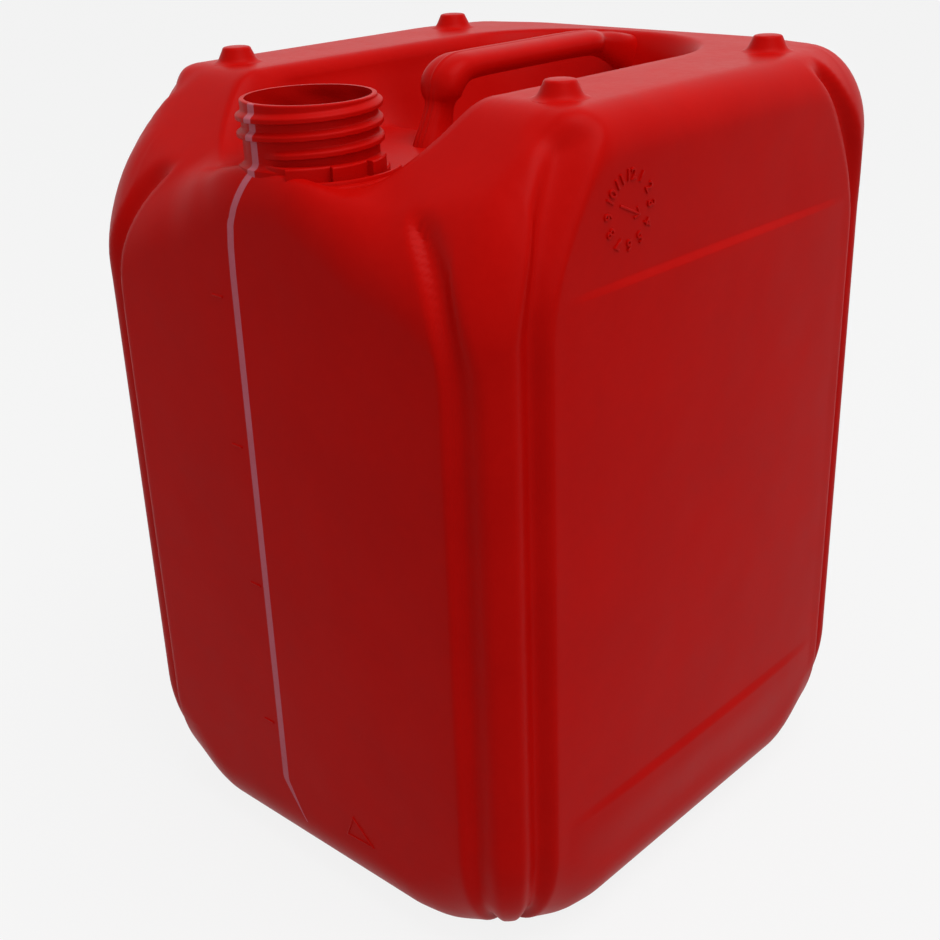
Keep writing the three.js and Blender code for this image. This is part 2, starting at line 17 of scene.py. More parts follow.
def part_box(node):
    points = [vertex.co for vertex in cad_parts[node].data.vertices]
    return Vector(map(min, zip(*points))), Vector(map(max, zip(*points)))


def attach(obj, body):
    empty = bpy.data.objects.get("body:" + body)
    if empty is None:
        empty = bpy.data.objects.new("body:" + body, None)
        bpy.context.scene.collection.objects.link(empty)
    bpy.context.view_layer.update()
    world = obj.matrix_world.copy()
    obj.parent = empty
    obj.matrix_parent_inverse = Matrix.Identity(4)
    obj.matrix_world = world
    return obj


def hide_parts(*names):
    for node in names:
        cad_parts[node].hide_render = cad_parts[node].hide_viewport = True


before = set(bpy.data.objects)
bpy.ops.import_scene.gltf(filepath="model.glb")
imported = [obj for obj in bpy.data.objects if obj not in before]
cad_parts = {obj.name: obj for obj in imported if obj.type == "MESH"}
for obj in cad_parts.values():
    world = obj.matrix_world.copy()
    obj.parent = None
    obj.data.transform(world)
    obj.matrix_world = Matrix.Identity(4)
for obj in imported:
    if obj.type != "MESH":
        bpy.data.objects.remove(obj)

Array = np.ndarray
Part = tuple[Array, Array]
Span = tuple[float, float]
Triple = tuple[float, float, float]
Window = tuple[float, float, float, float]
Row = tuple[float, ...]
Pairs = tuple[Span, ...]
Material = bpy.types.Material

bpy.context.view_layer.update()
BODY = "root"
MM = 0.001
MERGE_DISTANCE = 1e-7
SQUARE_ON = 0.99
WHITE = (1.0, 1.0, 1.0, 1.0)
log = logging.getLogger("jerrycan")


class Slot(Enum):
    """Material slots of the record."""

    RED = "hdpe_red"
    STRIPE = "hdpe_natural_stripe"


class Side(Enum):
    """Walls of the body that carry moulded marks."""

    FRONT = "front"
    RIGHT = "right"


def smoothstep(value: Array | float, low: float, high: float) -> Array:
    """Share from 0 at low to 1 at high, level at both ends."""
    share = np.clip((value - low) / (high - low), 0.0, 1.0)
    return share * share * (3.0 - 2.0 * share)


def falling(value: Array | float, low: float, high: float) -> Array:
    """Share from 1 at low to 0 at high, level at both ends."""
    return 1.0 - smoothstep(value, low, high)


def window(value: Array | float, first: float, full: float, fall: float, last: float) -> Array:
    """Share that rises from 0 at first to 1 at full and falls from 1 at fall to 0 at last."""
    return smoothstep(value, first, full) * falling(value, fall, last)


def between(low: Array | float, high: Array | float, share: Array | float) -> Array:
    """Value at a share of the way from low to high."""
    return low + (high - low) * share


def soft_max(first: Array, second: Array | float, blend: float) -> Array:
    """The larger of two heights, joined by a parabola where they differ by less than the blend."""
    near = np.maximum(blend - np.abs(first - second), 0.0) / blend
    return np.maximum(first, second) + near ** 2 * blend / 4


def spread(*runs: tuple[float, float, int]) -> Array:
    """Heights or shares of several runs of even steps, put one after the other.

    Args:
        runs: Start, end (left to the next run) and count of each run.

    Returns:
        All values in order, without the last run's end.
    """
    return np.concatenate([np.linspace(start, end, count, endpoint=False) for start, end, count in runs])


def arc(count: int, end: float = 90.0) -> Array:
    """Column of angles in radians, in even steps from 0 to an end in degrees."""
    return np.radians(np.linspace(0.0, end, count))[:, None]


def stacked(x: Array | float, y: Array | float, z: Array | float) -> Array:
    """Points from three coordinates of shapes that go together."""
    return np.stack(np.broadcast_arrays(x, y, z), axis=-1).astype(float)


def shell(outer: Array, inner: Array, wrap: bool = True, kept: Array | None = None,
          poles: tuple[bool, bool] = (False, False)) -> Part:
    """Closed wall between two grids of points: both skins, and a rim along every edge that is left open.

    Args:
        outer: Points of the outer skin, rows by columns by 3; columns run so that column x row faces out.
        inner: Points of the inner skin in the same layout.
        wrap: Whether the last column meets the first.
        kept: Cells that are there, rows - 1 by columns; all of them if left out.
        poles: Whether the first and the last row are one point each, which needs no rim.

    Returns:
        Points and four-cornered faces.
    """
    rows, columns = outer.shape[:2]
    kept = np.ones((rows - 1, columns), bool) if kept is None else kept.copy()
    if not wrap:
        kept[:, -1] = False
    here = np.arange(rows * columns).reshape(rows, columns)
    following = np.roll(here, -1, axis=1)
    a, b, c, d = here[:-1], following[:-1], following[1:], here[1:]
    under = rows * columns
    above = np.vstack([kept[1:], np.full((1, columns), poles[1])])
    below = np.vstack([np.full((1, columns), poles[0]), kept[:-1]])
    after = np.roll(kept, -1, axis=1)
    before = np.roll(kept, 1, axis=1)

    def picked(cells: Array, *corners: Array) -> Array:
        """Faces of the picked cells."""
        return np.stack([corner[cells] for corner in corners], axis=1)

    faces = np.concatenate([
        picked(kept, a, b, c, d),
        picked(kept, d + under, c + under, b + under, a + under),
        picked(kept & ~above, d, c, c + under, d + under),
        picked(kept & ~below, b, a, a + under, b + under),
        picked(kept & ~after, c, b, b + under, c + under),
        picked(kept & ~before, a, d, d + under, a + under),
    ])
    return np.concatenate([outer.reshape(-1, 3), inner.reshape(-1, 3)]), faces


def ring_skin(points: Array, closed_rows: bool = False) -> Part:
    """Skin of a grid whose columns close on themselves, and whose rows do too where asked.

    Args:
        points: Rows by columns by 3; column x row faces out.
        closed_rows: Whether the last row meets the first.

    Returns:
        Points and four-cornered faces.
    """
    rows, columns = points.shape[:2]
    here = np.arange(rows * columns).reshape(rows, columns)
    low = here if closed_rows else here[:-1]
    high = np.roll(here, -1, axis=0) if closed_rows else here[1:]
    faces = np.stack([low, np.roll(low, -1, axis=1), np.roll(high, -1, axis=1), high], axis=-1)
    return points.reshape(-1, 3), faces.reshape(-1, 4)


def ribbon(points: Array, proud: float, depth: float) -> Part:
    """Thin closed strip along a grid of points on a surface, moved out and in along the grid's own normals.

    Args:
        points: Rows by columns by 3; column x row faces out.
        proud: How far its face stands out of the surface.
        depth: How far its back lies inside the surface.

    Returns:
        Points and four-cornered faces.
    """
    out = np.cross(np.gradient(points, axis=1), np.gradient(points, axis=0))
    out /= np.linalg.norm(out, axis=-1, keepdims=True)
    return shell(points + out * proud, points - out * depth, wrap=False)


def add_object(name: str, data: bpy.types.ID) -> bpy.types.Object:
    """Object of the scene that shows a mesh, a text, a lamp or a camera."""
    made = bpy.data.objects.new(name, data)
    bpy.context.scene.collection.objects.link(made)
    return made


def put_mesh(name: str, parts: list[Part], sharp: float = 40.0) -> bpy.types.Object:
    """Object from points and faces, smooth but for edges sharper than an angle.

    Args:
        name: The piece's name.
        parts: Points in millimetres and faces with three or four corners each.
        sharp: Angle in degrees above which an edge stays sharp.

    Returns:
        The object, at the origin, with doubles merged.
    """
    first_points = np.cumsum([0] + [len(points) for points, _ in parts])
    corners = [faces.ravel() + first for (_, faces), first in zip(parts, first_points)]
    first_corners = np.cumsum([0] + [faces.size for _, faces in parts])
    starts = [np.arange(0, faces.size, faces.shape[1]) + first
              for (_, faces), first in zip(parts, first_corners)]
    used, corner_points = np.unique(np.concatenate(corners), return_inverse=True)
    points = np.concatenate([points for points, _ in parts])[used] * MM

    mesh = bpy.data.meshes.new(name)
    mesh.vertices.add(len(points))
    mesh.vertices.foreach_set("co", points.astype(np.float32).ravel())
    mesh.loops.add(corner_points.size)
    mesh.loops.foreach_set("vertex_index", corner_points.astype(np.int32).ravel())
    mesh.polygons.add(sum(len(faces) for _, faces in parts))
    mesh.polygons.foreach_set("loop_start", np.concatenate(starts).astype(np.int32))
    mesh.update(calc_edges=True)
    work = bmesh.new()
    work.from_mesh(mesh)
    bmesh.ops.remove_doubles(work, verts=work.verts, dist=MERGE_DISTANCE)
    work.to_mesh(mesh)
    work.free()
    mesh.polygons.foreach_set("use_smooth", np.ones(len(mesh.polygons), bool))
    mesh.set_sharp_from_angle(angle=np.radians(sharp))
    return add_object(name, mesh)


def fit(piece: bpy.types.Object, material: Material, slot: Slot, *nodes: str) -> None:
    """Dresses a piece, sets it on the body and hides the CAD nodes that it stands for.

    Args:
        piece: The finished piece.
        material: Its finish.
        slot: Not used.
        nodes: CAD nodes that the piece stands for.
    """
    piece.data.materials.append(material)
    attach(piece, BODY)
    if nodes:
        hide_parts(*nodes)
    piece.data.calc_loop_triangles()
    log.info("%s: %d triangles", piece.name, len(piece.data.loop_triangles))


class Value:
    """A shader socket that takes part in Python expressions."""

    def __init__(self, graph: "Graph", socket: bpy.types.NodeSocket) -> None:
        """Holds the socket and the graph that it belongs to."""
        self.graph = graph
        self.socket = socket

    def _math(self, operation: str, first: "Value | float", second: "Value | float") -> "Value":
        """Math node on two values."""
        return self.graph.node("ShaderNodeMath", {"operation": operation}, {0: first, 1: second})

    def __add__(self, other: "Value | float") -> "Value":
        """Sum."""
        return self._math("ADD", self, other)

    def __radd__(self, other: float) -> "Value":
        """Sum, from the right."""
        return self._math("ADD", other, self)

    def __sub__(self, other: "Value | float") -> "Value":
        """Difference."""
        return self._math("SUBTRACT", self, other)

    def __rsub__(self, other: float) -> "Value":
        """Difference, from the right."""
        return self._math("SUBTRACT", other, self)

    def __mul__(self, other: "Value | float") -> "Value":
        """Product."""
        return self._math("MULTIPLY", self, other)

    def __rmul__(self, other: float) -> "Value":
        """Product, from the right."""
        return self._math("MULTIPLY", other, self)

    def highest(self, other: "Value | float") -> "Value":
        """The larger of two values."""
        return self._math("MAXIMUM", self, other)


class Graph:
    """Node tree that is written as expressions."""

    def __init__(self, owner: Material | bpy.types.World) -> None:
        """Turns on the owner's node tree and empties it."""
        owner.use_nodes = True
        self.tree = owner.node_tree
        self.tree.nodes.clear()

    def node(self, kind: str, settings: dict | None = None, sockets: dict | None = None,
             output: int | str = 0) -> Value | None:
        """Adds a node.

        Args:
            kind: The node's type.
            settings: Its properties, set before its sockets.
            sockets: Values or links by socket name or number.
            output: The output that is wanted.

        Returns:
            The output's value, or None for a node without outputs.
        """
        made = self.tree.nodes.new(kind)
        for name, setting in (settings or {}).items():
            setattr(made, name, setting)
        for name, value in (sockets or {}).items():
            if isinstance(value, Value):
                self.tree.links.new(value.socket, made.inputs[name])
            else:
                made.inputs[name].default_value = value
        return Value(self, made.outputs[output]) if len(made.outputs) else None

    def noise(self, place: Value, scale: float, detail: float, fineness: float = 0.55) -> Value:
        """Soft noise from 0 to 1 on a place, with scale features to the metre."""
        sockets = {"Vector": place, "Scale": scale, "Detail": detail, "Roughness": fineness}
        return self.node("ShaderNodeTexNoise", {}, sockets, "Fac")

    def mixed(self, share: Value, first: Value | tuple, second: Value | tuple) -> Value:
        """Colour at a share of the way from the first to the second."""
        colours = [colour if isinstance(colour, Value) else (*colour, 1.0) for colour in (first, second)]
        sockets = {0: share, 6: colours[0], 7: colours[1]}
        return self.node("ShaderNodeMix", {"data_type": "RGBA"}, sockets, 2)

    def step(self, value: Value, low: float, high: float) -> Value:
        """Share from 0 at low to 1 at high, level at both ends."""
        sockets = {"Value": value, "From Min": low, "From Max": high}
        return self.node("ShaderNodeMapRange", {"interpolation_type": "SMOOTHSTEP"}, sockets)

    def seen(self) -> Value:
        """1 for rays of the camera, of mirrors and of glass, and 0 for light that bounces."""
        rays = ("Is Camera Ray", "Is Glossy Ray", "Is Transmission Ray")
        camera, glossy, glass = (self.node("ShaderNodeLightPath", {}, {}, ray) for ray in rays)
        return camera.highest(glossy).highest(glass)


@dataclass(frozen=True)
class MouldedPlastic:
    """Satin blow-moulded plastic: cloudy colour, uneven gloss, soft waves, a fine grain and a rubbed foot.

    Scales are features to the metre, heights are in metres, and spans run from none to all.
    """

    name: str
    colour: Triple
    deep_colour: Triple
    worn_colour: Triple
    roughness: float = 0.38
    speckle_roughness: float = 0.1
    cloud_roughness: float = 0.08
    rubbed_roughness: float = 0.2
    specular: float = 0.035
    cloud_scale: float = 16.0
    cloud_share: float = 0.7
    speckle_ratio: float = 14.0
    scuff_ratio: float = 30.0
    tint_span: Span = (0.3, 0.7)
    rubbed_heights: Span = (0.001, 0.014)
    rubbed_span: Span = (0.45, 0.7)
    rubbed_share: float = 0.35
    wave_scale: float = 24.0
    wave_height: float = 0.0007
    grain_scale: float = 1300.0
    grain_height: float = 0.00003
    subsurface: float = 0.0
    subsurface_radius: Triple = (0.004, 0.003, 0.003)

    def material(self) -> Material:
        """The finish as a node material on Object coordinates."""
        material = bpy.data.materials.new(self.name)
        graph = Graph(material)
        place = graph.node("ShaderNodeTexCoord", {}, {}, "Object")
        height = graph.node("ShaderNodeSeparateXYZ", {}, {"Vector": place}, "Z")
        cloud = graph.noise(place, self.cloud_scale, detail=3.0)
        speckle = graph.noise(place, self.cloud_scale * self.speckle_ratio, detail=3.0)
        scuff = graph.noise(place, self.cloud_scale * self.scuff_ratio, detail=4.0)
        rubbed = (1.0 - graph.step(height, *self.rubbed_heights)) * graph.step(scuff, *self.rubbed_span)

        tint = cloud * self.cloud_share + speckle * (1.0 - self.cloud_share)
        colour = graph.mixed(graph.step(tint, *self.tint_span), self.deep_colour, self.colour)
        worn = graph.mixed(rubbed * self.rubbed_share, colour, self.worn_colour)
        roughness = (self.roughness + (speckle - 0.5) * self.speckle_roughness
                     + (cloud - 0.5) * self.cloud_roughness + rubbed * self.rubbed_roughness)

        waves = graph.noise(place, self.wave_scale, detail=1.0)
        grain = graph.noise(place, self.grain_scale, detail=2.0)
        relief = waves * self.wave_height + grain * self.grain_height
        normal = graph.node("ShaderNodeBump", {}, {"Strength": 1.0, "Distance": 1.0, "Height": relief})
        shader = graph.node("ShaderNodeBsdfPrincipled", {}, {
            "Base Color": worn,
            "Roughness": roughness,
            "Specular IOR Level": self.specular,
            "Subsurface Weight": self.subsurface,
            "Subsurface Radius": self.subsurface_radius,
            "Subsurface Scale": 1.0,
            "Normal": normal,
        })
        graph.node("ShaderNodeOutputMaterial", {}, {"Surface": shader})
        return material


RED_PLASTIC = MouldedPlastic(
    name="red_plastic",
    colour=(0.50, 0.0030, 0.0016),
    deep_colour=(0.46, 0.0022, 0.0012),
    worn_colour=(0.50, 0.06, 0.06),
)
STRIPE_PLASTIC = MouldedPlastic(
    name="stripe_plastic",
    colour=(0.56, 0.13, 0.175),
    deep_colour=(0.52, 0.105, 0.135),
    worn_colour=(0.55, 0.3, 0.34),
    roughness=0.3,
    cloud_scale=40.0,
    subsurface=0.15,
)


@dataclass(frozen=True)
class Stations:
    """Places on the body's outline: where they are, which way they face, how far along the wall they lie
    from the nearest corner's middle, and whether they belong to the front or rear wall."""

    x: Array
    y: Array
    out_x: Array
    out_y: Array
    along: Array
    on_end: Array

    def moved(self, out: Array, z: Array) -> Array:
        """Points moved out from the outline, at the given heights."""
        return stacked(self.x + self.out_x * out, self.y + self.out_y * out, z)


@dataclass(frozen=True)
class Flute:
    """Upright groove beside a corner column, which bends away from the corner near its tip."""

    place: float
    near_width: float
    far_width: float
    depth: float
    bend_from: float
    tip: float
    fade: float
    drift: float
    turn: float
    near_change: float
    far_change: float

    def depth_at(self, along: Array, z: Array) -> Array:
        """Depth of the groove: a raised cosine across it, wider on one side than on the other, faded out
        towards the tip. Its middle drifts with a power of the bend's share, and its sides change width.

        Args:
            along: Distance along the wall from the corner's middle.
            z: Height.

        Returns:
            Depth in millimetres.
        """
        bend = np.clip((z - self.bend_from) / (self.tip - self.bend_from), 0.0, 1.0)
        off = along - self.place - self.drift * bend ** self.turn
        width = np.where(off < 0.0, self.near_width * (1.0 + self.near_change * bend),
                         self.far_width * (1.0 + self.far_change * bend))
        across = np.clip(np.abs(off) / width, 0.0, 1.0)
        faded = falling(z, self.tip - self.fade, self.tip)
        return self.depth * faded * (0.5 + 0.5 * np.cos(np.pi * across))


@dataclass
class Body:
    """Blow-moulded body: one skin from the base's middle up the fluted walls, over the rounded upper edges
    and down into the valley between the two ridges.

    Sizes are in millimetres, pairs of an edge are its reach and drop, spans run from none to all, and steps
    and counts are those of the skin's columns and rows.
    """

    half_width: float = field(init=False)
    half_depth: float = field(init=False)
    ridge_height: float = field(init=False)
    pan_top: float = field(init=False)
    shoulder_bottom: float = field(init=False)
    wall: float = 2.2
    corner_radius: float = 32.0
    base_radius: float = 30.0
    base_corner_rise: float = 62.0
    base_corner_span: Span = (14.0, 60.0)
    corner_lift: float = 9.5
    corner_lift_span: Span = (16.0, 46.0)
    flute_foot: float = 0.3
    flute_foot_span: Span = (10.0, 52.0)
    stand_width: float = 18.0
    push_up_run: float = 8.0
    push_up_height: float = 5.0
    edge_side: Span = (19.0, 19.0)
    edge_corner: Span = (29.0, 40.0)
    edge_front: Span = (18.0, 34.0)
    edge_neck: Span = (12.0, 22.0)
    edge_front_span: Span = (100.0, 138.0)
    edge_corner_span: Span = (16.0, 62.0)
    edge_neck_span: Span = (10.0, 100.0)
    slope_run: float = 66.6
    slope_blend: float = 16.0
    slope_fall: float = 0.85
    shelf_height: float = 339.0
    shelf_start: float = 18.0
    shelf_sink: float = 8.0
    shelf_blend: float = 14.0
    shelf_fall: float = 40.0
    shelf_span: Span = (32.0, 108.0)
    end_flute: Flute = Flute(place=16.0, near_width=12.5, far_width=6.4, depth=4.4, bend_from=262.0,
                             tip=338.0, fade=7.0, drift=34.0, turn=2.5, near_change=0.0, far_change=-0.1)
    side_flute: Flute = Flute(place=16.2, near_width=11.0, far_width=8.2, depth=5.6, bend_from=292.0,
                              tip=369.5, fade=9.0, drift=35.0, turn=1.8, near_change=-0.5, far_change=0.7)
    panel_bottom: float = 67.5
    panel_top: float = 305.0
    panel_half_length: float = 102.0
    panel_crown: float = 0.9
    lower_step: float = 1.4
    upper_step: float = 1.7
    panel_bow: float = 3.0
    lower_ledge: float = 6.0
    upper_ledge: float = 4.0
    lower_band: Span = (32.0, 60.0)
    upper_band: Span = (312.0, 350.0)
    valley_half_width: float = 73.0
    valley_front: float = -134.6
    valley_rear: float = 115.0
    valley_front_radius: float = 72.5
    valley_rear_radius: float = 66.0
    valley_run: float = 25.0
    valley_depth: float = 32.5
    lip_limit: float = 0.985
    crease_share: float = 0.3
    crease_drop: float = 8.0
    crease_span: Window = (-82.0, -58.0, 58.0, 92.0)
    slope_ease: float = 1.7
    hand_dip: float = 13.0
    hand_dip_span: Span = (-16.0, 8.0)
    neck_y: float = -106.0
    pedestal_radius: float = 36.0
    pedestal_fade: float = 34.0
    pedestal_fall: float = 12.0
    pedestal_blend: float = 7.0
    apron_rise: float = 9.0
    apron_span: Span = (12.0, 32.0)
    apron_sides: Span = (6.0, 58.0)
    neck_hole_radius: float = 28.5
    fine_run: float = 37.0
    fine_steps: int = 26
    coarse_step: float = 4.0
    corner_steps: int = 36
    base_shares: Row = (0.0, 0.35, 0.7, 0.9)
    band_count: int = 10
    fillet_count: int = 18
    fillet_ease: float = 1.6
    lower_marks: Row = (64.0, 71.0, 258.0)
    upper_marks: Row = (303.0, 308.0)
    level_counts: tuple[int, ...] = (6, 20, 16, 5, 9, 15)
    rising_count: int = 12
    edge_margin: float = 4.0
    edge_count: int = 17
    ridge_count: int = 9
    roll_count: int = 9
    slope_count: int = 11
    floor_share: float = 0.5
    floor_counts: tuple[int, int] = (19, 7)
    halvings: int = 40
    rows_below_edge: int = 80

    def __post_init__(self) -> None:
        """Takes the overall sizes and the heights of the cuts from the frame."""
        low, high = (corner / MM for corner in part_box("body_walls"))
        self.pan_top, self.shoulder_bottom = low.z, high.z
        base_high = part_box("base_pan")[1] / MM
        self.half_width, self.half_depth = base_high.x, base_high.y
        self.ridge_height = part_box("top_shoulder")[1].z / MM

    @property
    def deck_height(self) -> float:
        """Height of the deck round the neck."""
        return self.ridge_height - self.valley_depth

    @property
    def valley_middle(self) -> float:
        """Middle of the valley along the can."""
        return (self.valley_front + self.valley_rear) / 2

    def outline(self, inset: float) -> Stations:
        """Stations counter-clockwise from the left end of the front, closest together near the corners.

        Args:
            inset: How far the outline lies inside the outer one.

        Returns:
            The stations in order.
        """
        corner_x, corner_y = self.half_width - self.corner_radius, self.half_depth - self.corner_radius
        quarter = self.corner_radius * np.pi / 4
        radius = self.corner_radius - inset
        bends = np.linspace(0.0, 90.0, self.corner_steps, endpoint=False)
        fine_in_coarse = int(2 * self.fine_run / self.coarse_step)
        runs = []
        for turned, (reach_out, reach_along) in enumerate(2 * [(corner_y, corner_x), (corner_x, corner_y)]):
            length = 2 * reach_along
            marks = (0.0, self.fine_run, length - self.fine_run, length)
            counts = (self.fine_steps, int(length / self.coarse_step) - fine_in_coarse, self.fine_steps)
            steps = spread(*zip(marks[:-1], marks[1:], counts))
            bend = np.radians(np.concatenate([np.zeros_like(steps), bends]) - 90.0 + 90.0 * turned)
            flat_along = np.concatenate([steps, np.full(self.corner_steps, length)]) - reach_along
            heading = np.radians(90.0 * turned)
            x = flat_along * np.cos(heading) + reach_out * np.sin(heading) + radius * np.cos(bend)
            y = flat_along * np.sin(heading) - reach_out * np.cos(heading) + radius * np.sin(bend)
            along = np.concatenate([quarter + np.minimum(steps, length - steps),
                                    self.corner_radius * np.radians(np.abs(bends - 45.0))])
            past_middle = np.concatenate([np.zeros(len(steps), bool), bends > 45.0])
            runs.append((x, y, np.cos(bend), np.sin(bend), along, past_middle ^ (turned % 2 == 0)))
        return Stations(*(np.concatenate(values) for values in zip(*runs)))

    def wall_stations(self, side: Side, across: Array) -> Stations:
        """Stations on the flat of one wall.

        Args:
            side: The wall.
            across: x on the front, y on the right side.

        Returns:
            Stations in the layout of across.
        """
        ends = {Side.FRONT: (self.half_width, 0.0, -1.0), Side.RIGHT: (self.half_depth, 1.0, 0.0)}
        half, out_x, out_y = ends[side]
        along = self.corner_radius * np.pi / 4 + half - self.corner_radius - np.abs(across)
        flat = np.zeros_like(across)
        on_front = side is Side.FRONT
        x, y = (across, flat - self.half_depth) if on_front else (flat + self.half_width, across)
        return Stations(x, y, flat + out_x, flat + out_y, along, np.full(across.shape, on_front))

    def flutes(self, at: Stations, z: Array) -> Array:
        """Depth of the flutes at stations and heights, before they fade at the foot."""
        on_end, on_side = (flute.depth_at(at.along, z) for flute in (self.end_flute, self.side_flute))
        return np.where(at.on_end, on_end, on_side)

    def flute_depth(self, at: Stations, z: Array) -> Array:
        """Depth of the flutes at stations and heights, shallower towards the base."""
        return self.flutes(at, z) * between(self.flute_foot, 1.0, smoothstep(z, *self.flute_foot_span))

    def crown(self, at: Stations, z: Array) -> Array:
        """How far the sides stand out: a bow along the side that steps out at the label panel's upper ledge
        and again at its lower one, faded out towards the upper and lower edges."""
        bow = 1.0 - np.clip(np.abs(at.y) / self.panel_half_length, 0.0, 1.0) ** self.panel_bow
        low, high = self.lower_ledge / 2, self.upper_ledge / 2
        under = falling(z, self.panel_bottom - low, self.panel_bottom + low)
        over = smoothstep(z, self.panel_top - high, self.panel_top + high)
        stepped = self.panel_crown + self.lower_step * under - self.upper_step * over
        faded = window(z, *self.lower_band, *self.upper_band)
        return np.where(np.abs(at.out_x) > SQUARE_ON, bow, 0.0) * stepped * faded

    def top_height(self, x: Array, y: Array) -> Array:
        """Height of the top before its edges are rounded: flat ridges that slope down to the shelf beside
        the neck, joined softly to the neck's pedestal, which rises to an apron before the neck."""
        past = np.maximum(self.slope_run - self.half_depth - y, 0.0)
        eased = np.where(past < self.slope_blend, past ** 2 / (2 * self.slope_blend),
                         past - self.slope_blend / 2)
        away = np.hypot(x, y - self.neck_y)
        fall = smoothstep(away, self.pedestal_radius, self.pedestal_radius + self.pedestal_fade)
        before_neck = smoothstep(self.neck_y - y, *self.apron_span)
        beside = falling(np.abs(x), *self.apron_sides)
        pedestal = self.deck_height - self.pedestal_fall * fall + self.apron_rise * before_neck * beside
        near_neck = falling(away, self.pedestal_radius, self.pedestal_radius + self.shelf_start)
        shelf = self.shelf_height - self.shelf_fall * (1.0 - self.shelf_share(x))
        shelf = shelf - self.shelf_sink * near_neck
        ridge = soft_max(self.ridge_height - self.slope_fall * eased, shelf, self.shelf_blend)
        return soft_max(ridge, pedestal, self.pedestal_blend)

    def shelf_share(self, x: Array) -> Array:
        """How much of the shelf beside the neck there is: 1 near the neck, 0 towards the corners."""
        return falling(np.abs(x), *self.shelf_span)

    def edge(self, at: Stations, inset: float) -> tuple[Array, Array]:
        """Reach and drop of the rounded upper edge: wide at the corners, narrow beside the neck."""
        corner = falling(at.along, *self.edge_corner_span)
        neck = np.where(at.out_y < -SQUARE_ON, falling(np.abs(at.x), *self.edge_neck_span), 0.0)
        before = smoothstep(-at.y, *self.edge_front_span) * self.shelf_share(at.x)
        reach, drop = (between(between(between(side, front, before), round_, corner), narrow, neck)
                       for side, front, round_, narrow
                       in zip(self.edge_side, self.edge_front, self.edge_corner, self.edge_neck))
        return reach - inset, drop - inset

    def edge_start(self, at: Stations) -> Array:
        """Height where the walls turn into the rounded upper edge."""
        return self.top_height(at.x, at.y) - self.edge(at, 0.0)[1]

    def edge_points(self, at: Stations, inset: float, lean: Array) -> Array:
        """Points over the rounded upper edge: a quarter ellipse of the edge's reach and drop, carried by the
        height of the top, with the flutes cut square to it.

        Args:
            at: Stations of the outline.
            inset: How far the skin lies inside the outer one.
            lean: Angle from the wall to the top in radians.

        Returns:
            Points in the joint layout of the stations and the angles.
        """
        reach, drop = self.edge(at, inset)
        over = at.moved(reach * (np.cos(lean) - 1.0), 0.0)
        z = self.top_height(over[..., 0], over[..., 1]) - inset - drop * (1.0 - np.sin(lean))
        square_out, square_up = drop * np.cos(lean), reach * np.sin(lean)
        depth = self.flute_depth(at, z) / np.hypot(square_out, square_up)
        return at.moved(reach * (np.cos(lean) - 1.0) - depth * square_out, z - depth * square_up)

    def lip_distance(self, x: Array, y: Array) -> Array:
        """Distance in plan from the valley's lip, a rounded rectangle, negative inside."""
        radius = np.where(y < self.valley_middle, self.valley_front_radius, self.valley_rear_radius)
        across = np.abs(x) - (self.valley_half_width - radius)
        half_length = (self.valley_rear - self.valley_front) / 2
        along = np.abs(y - self.valley_middle) - (half_length - radius)
        outside = np.hypot(np.maximum(across, 0.0), np.maximum(along, 0.0))
        return outside + np.minimum(np.maximum(across, along), 0.0) - radius

    def from_middle(self, end: Array, share: Array) -> tuple[Array, Array]:
        """Point at a share of the way from the valley's middle to another point."""
        return end[..., 0] * share, between(self.valley_middle, end[..., 1], share)

    def by_lip(self, ends: Array, distance: float) -> Array:
        """Points on the way from the valley's middle to the ends at a distance from the lip, by halving."""
        low = np.zeros(len(ends))
        high = np.full(len(ends), self.lip_limit)
        for _ in range(self.halvings):
            half = (low + high) / 2
            inside = self.lip_distance(*self.from_middle(ends, half)) < distance
            low, high = np.where(inside, half, low), np.where(inside, high, half)
        return stacked(*self.from_middle(ends, low), 0.0)

    def floor_height(self, y: Array) -> Array:
        """Height of the valley's floor, lower under the handle to clear a hand."""
        return self.deck_height - self.hand_dip * smoothstep(y, *self.hand_dip_span)

    def base_rows(self, at: Stations, inset: float) -> Array:
        """Rows of the base, from its middle over the push-up to the band that the can stands on."""
        inner_band = self.stand_width + self.push_up_run
        bands = np.concatenate([np.full(len(self.base_shares), inner_band),
                                np.linspace(inner_band, 0.0, self.band_count)])[:, None]
        shrink = np.concatenate([self.base_shares, np.ones(self.band_count)])[:, None]
        ring = at.moved(inset - self.base_radius, 0.0)
        share_x = shrink * (1.0 - bands / (self.half_width - self.base_radius))
        share_y = shrink * (1.0 - bands / (self.half_depth - self.base_radius))
        rise = self.push_up_height * smoothstep(bands, self.stand_width, inner_band)
        notch = self.toe(at, np.zeros(1)) * falling(bands, 0.0, self.stand_width)
        return stacked(ring[:, 0] * share_x, ring[:, 1] * share_y, inset + rise + notch)

    def fillet_rows(self, at: Stations, inset: float) -> Array:
        """Rows of the rounded lower edge up to the cut, closer together towards the base."""
        share = np.linspace(0.0, 1.0, self.fillet_count)[1:-1, None] ** self.fillet_ease
        return self.wall_points(at, inset, between(inset, self.pan_top, share))

    def wall_points(self, at: Stations, inset: float, z: Array) -> Array:
        """Points of the walls and of the rounded lower edge, which is raised towards the base."""
        return at.moved(self.wall_out(at, inset, z), z + self.toe(at, z) * self.lean_under(at, inset, z))

    def toe(self, at: Stations, z: Array) -> Array:
        """How far the base's edge is raised: where the flutes run out, and at the corners."""
        return self.flutes(at, z) + self.corner_lift * falling(at.along, *self.corner_lift_span)

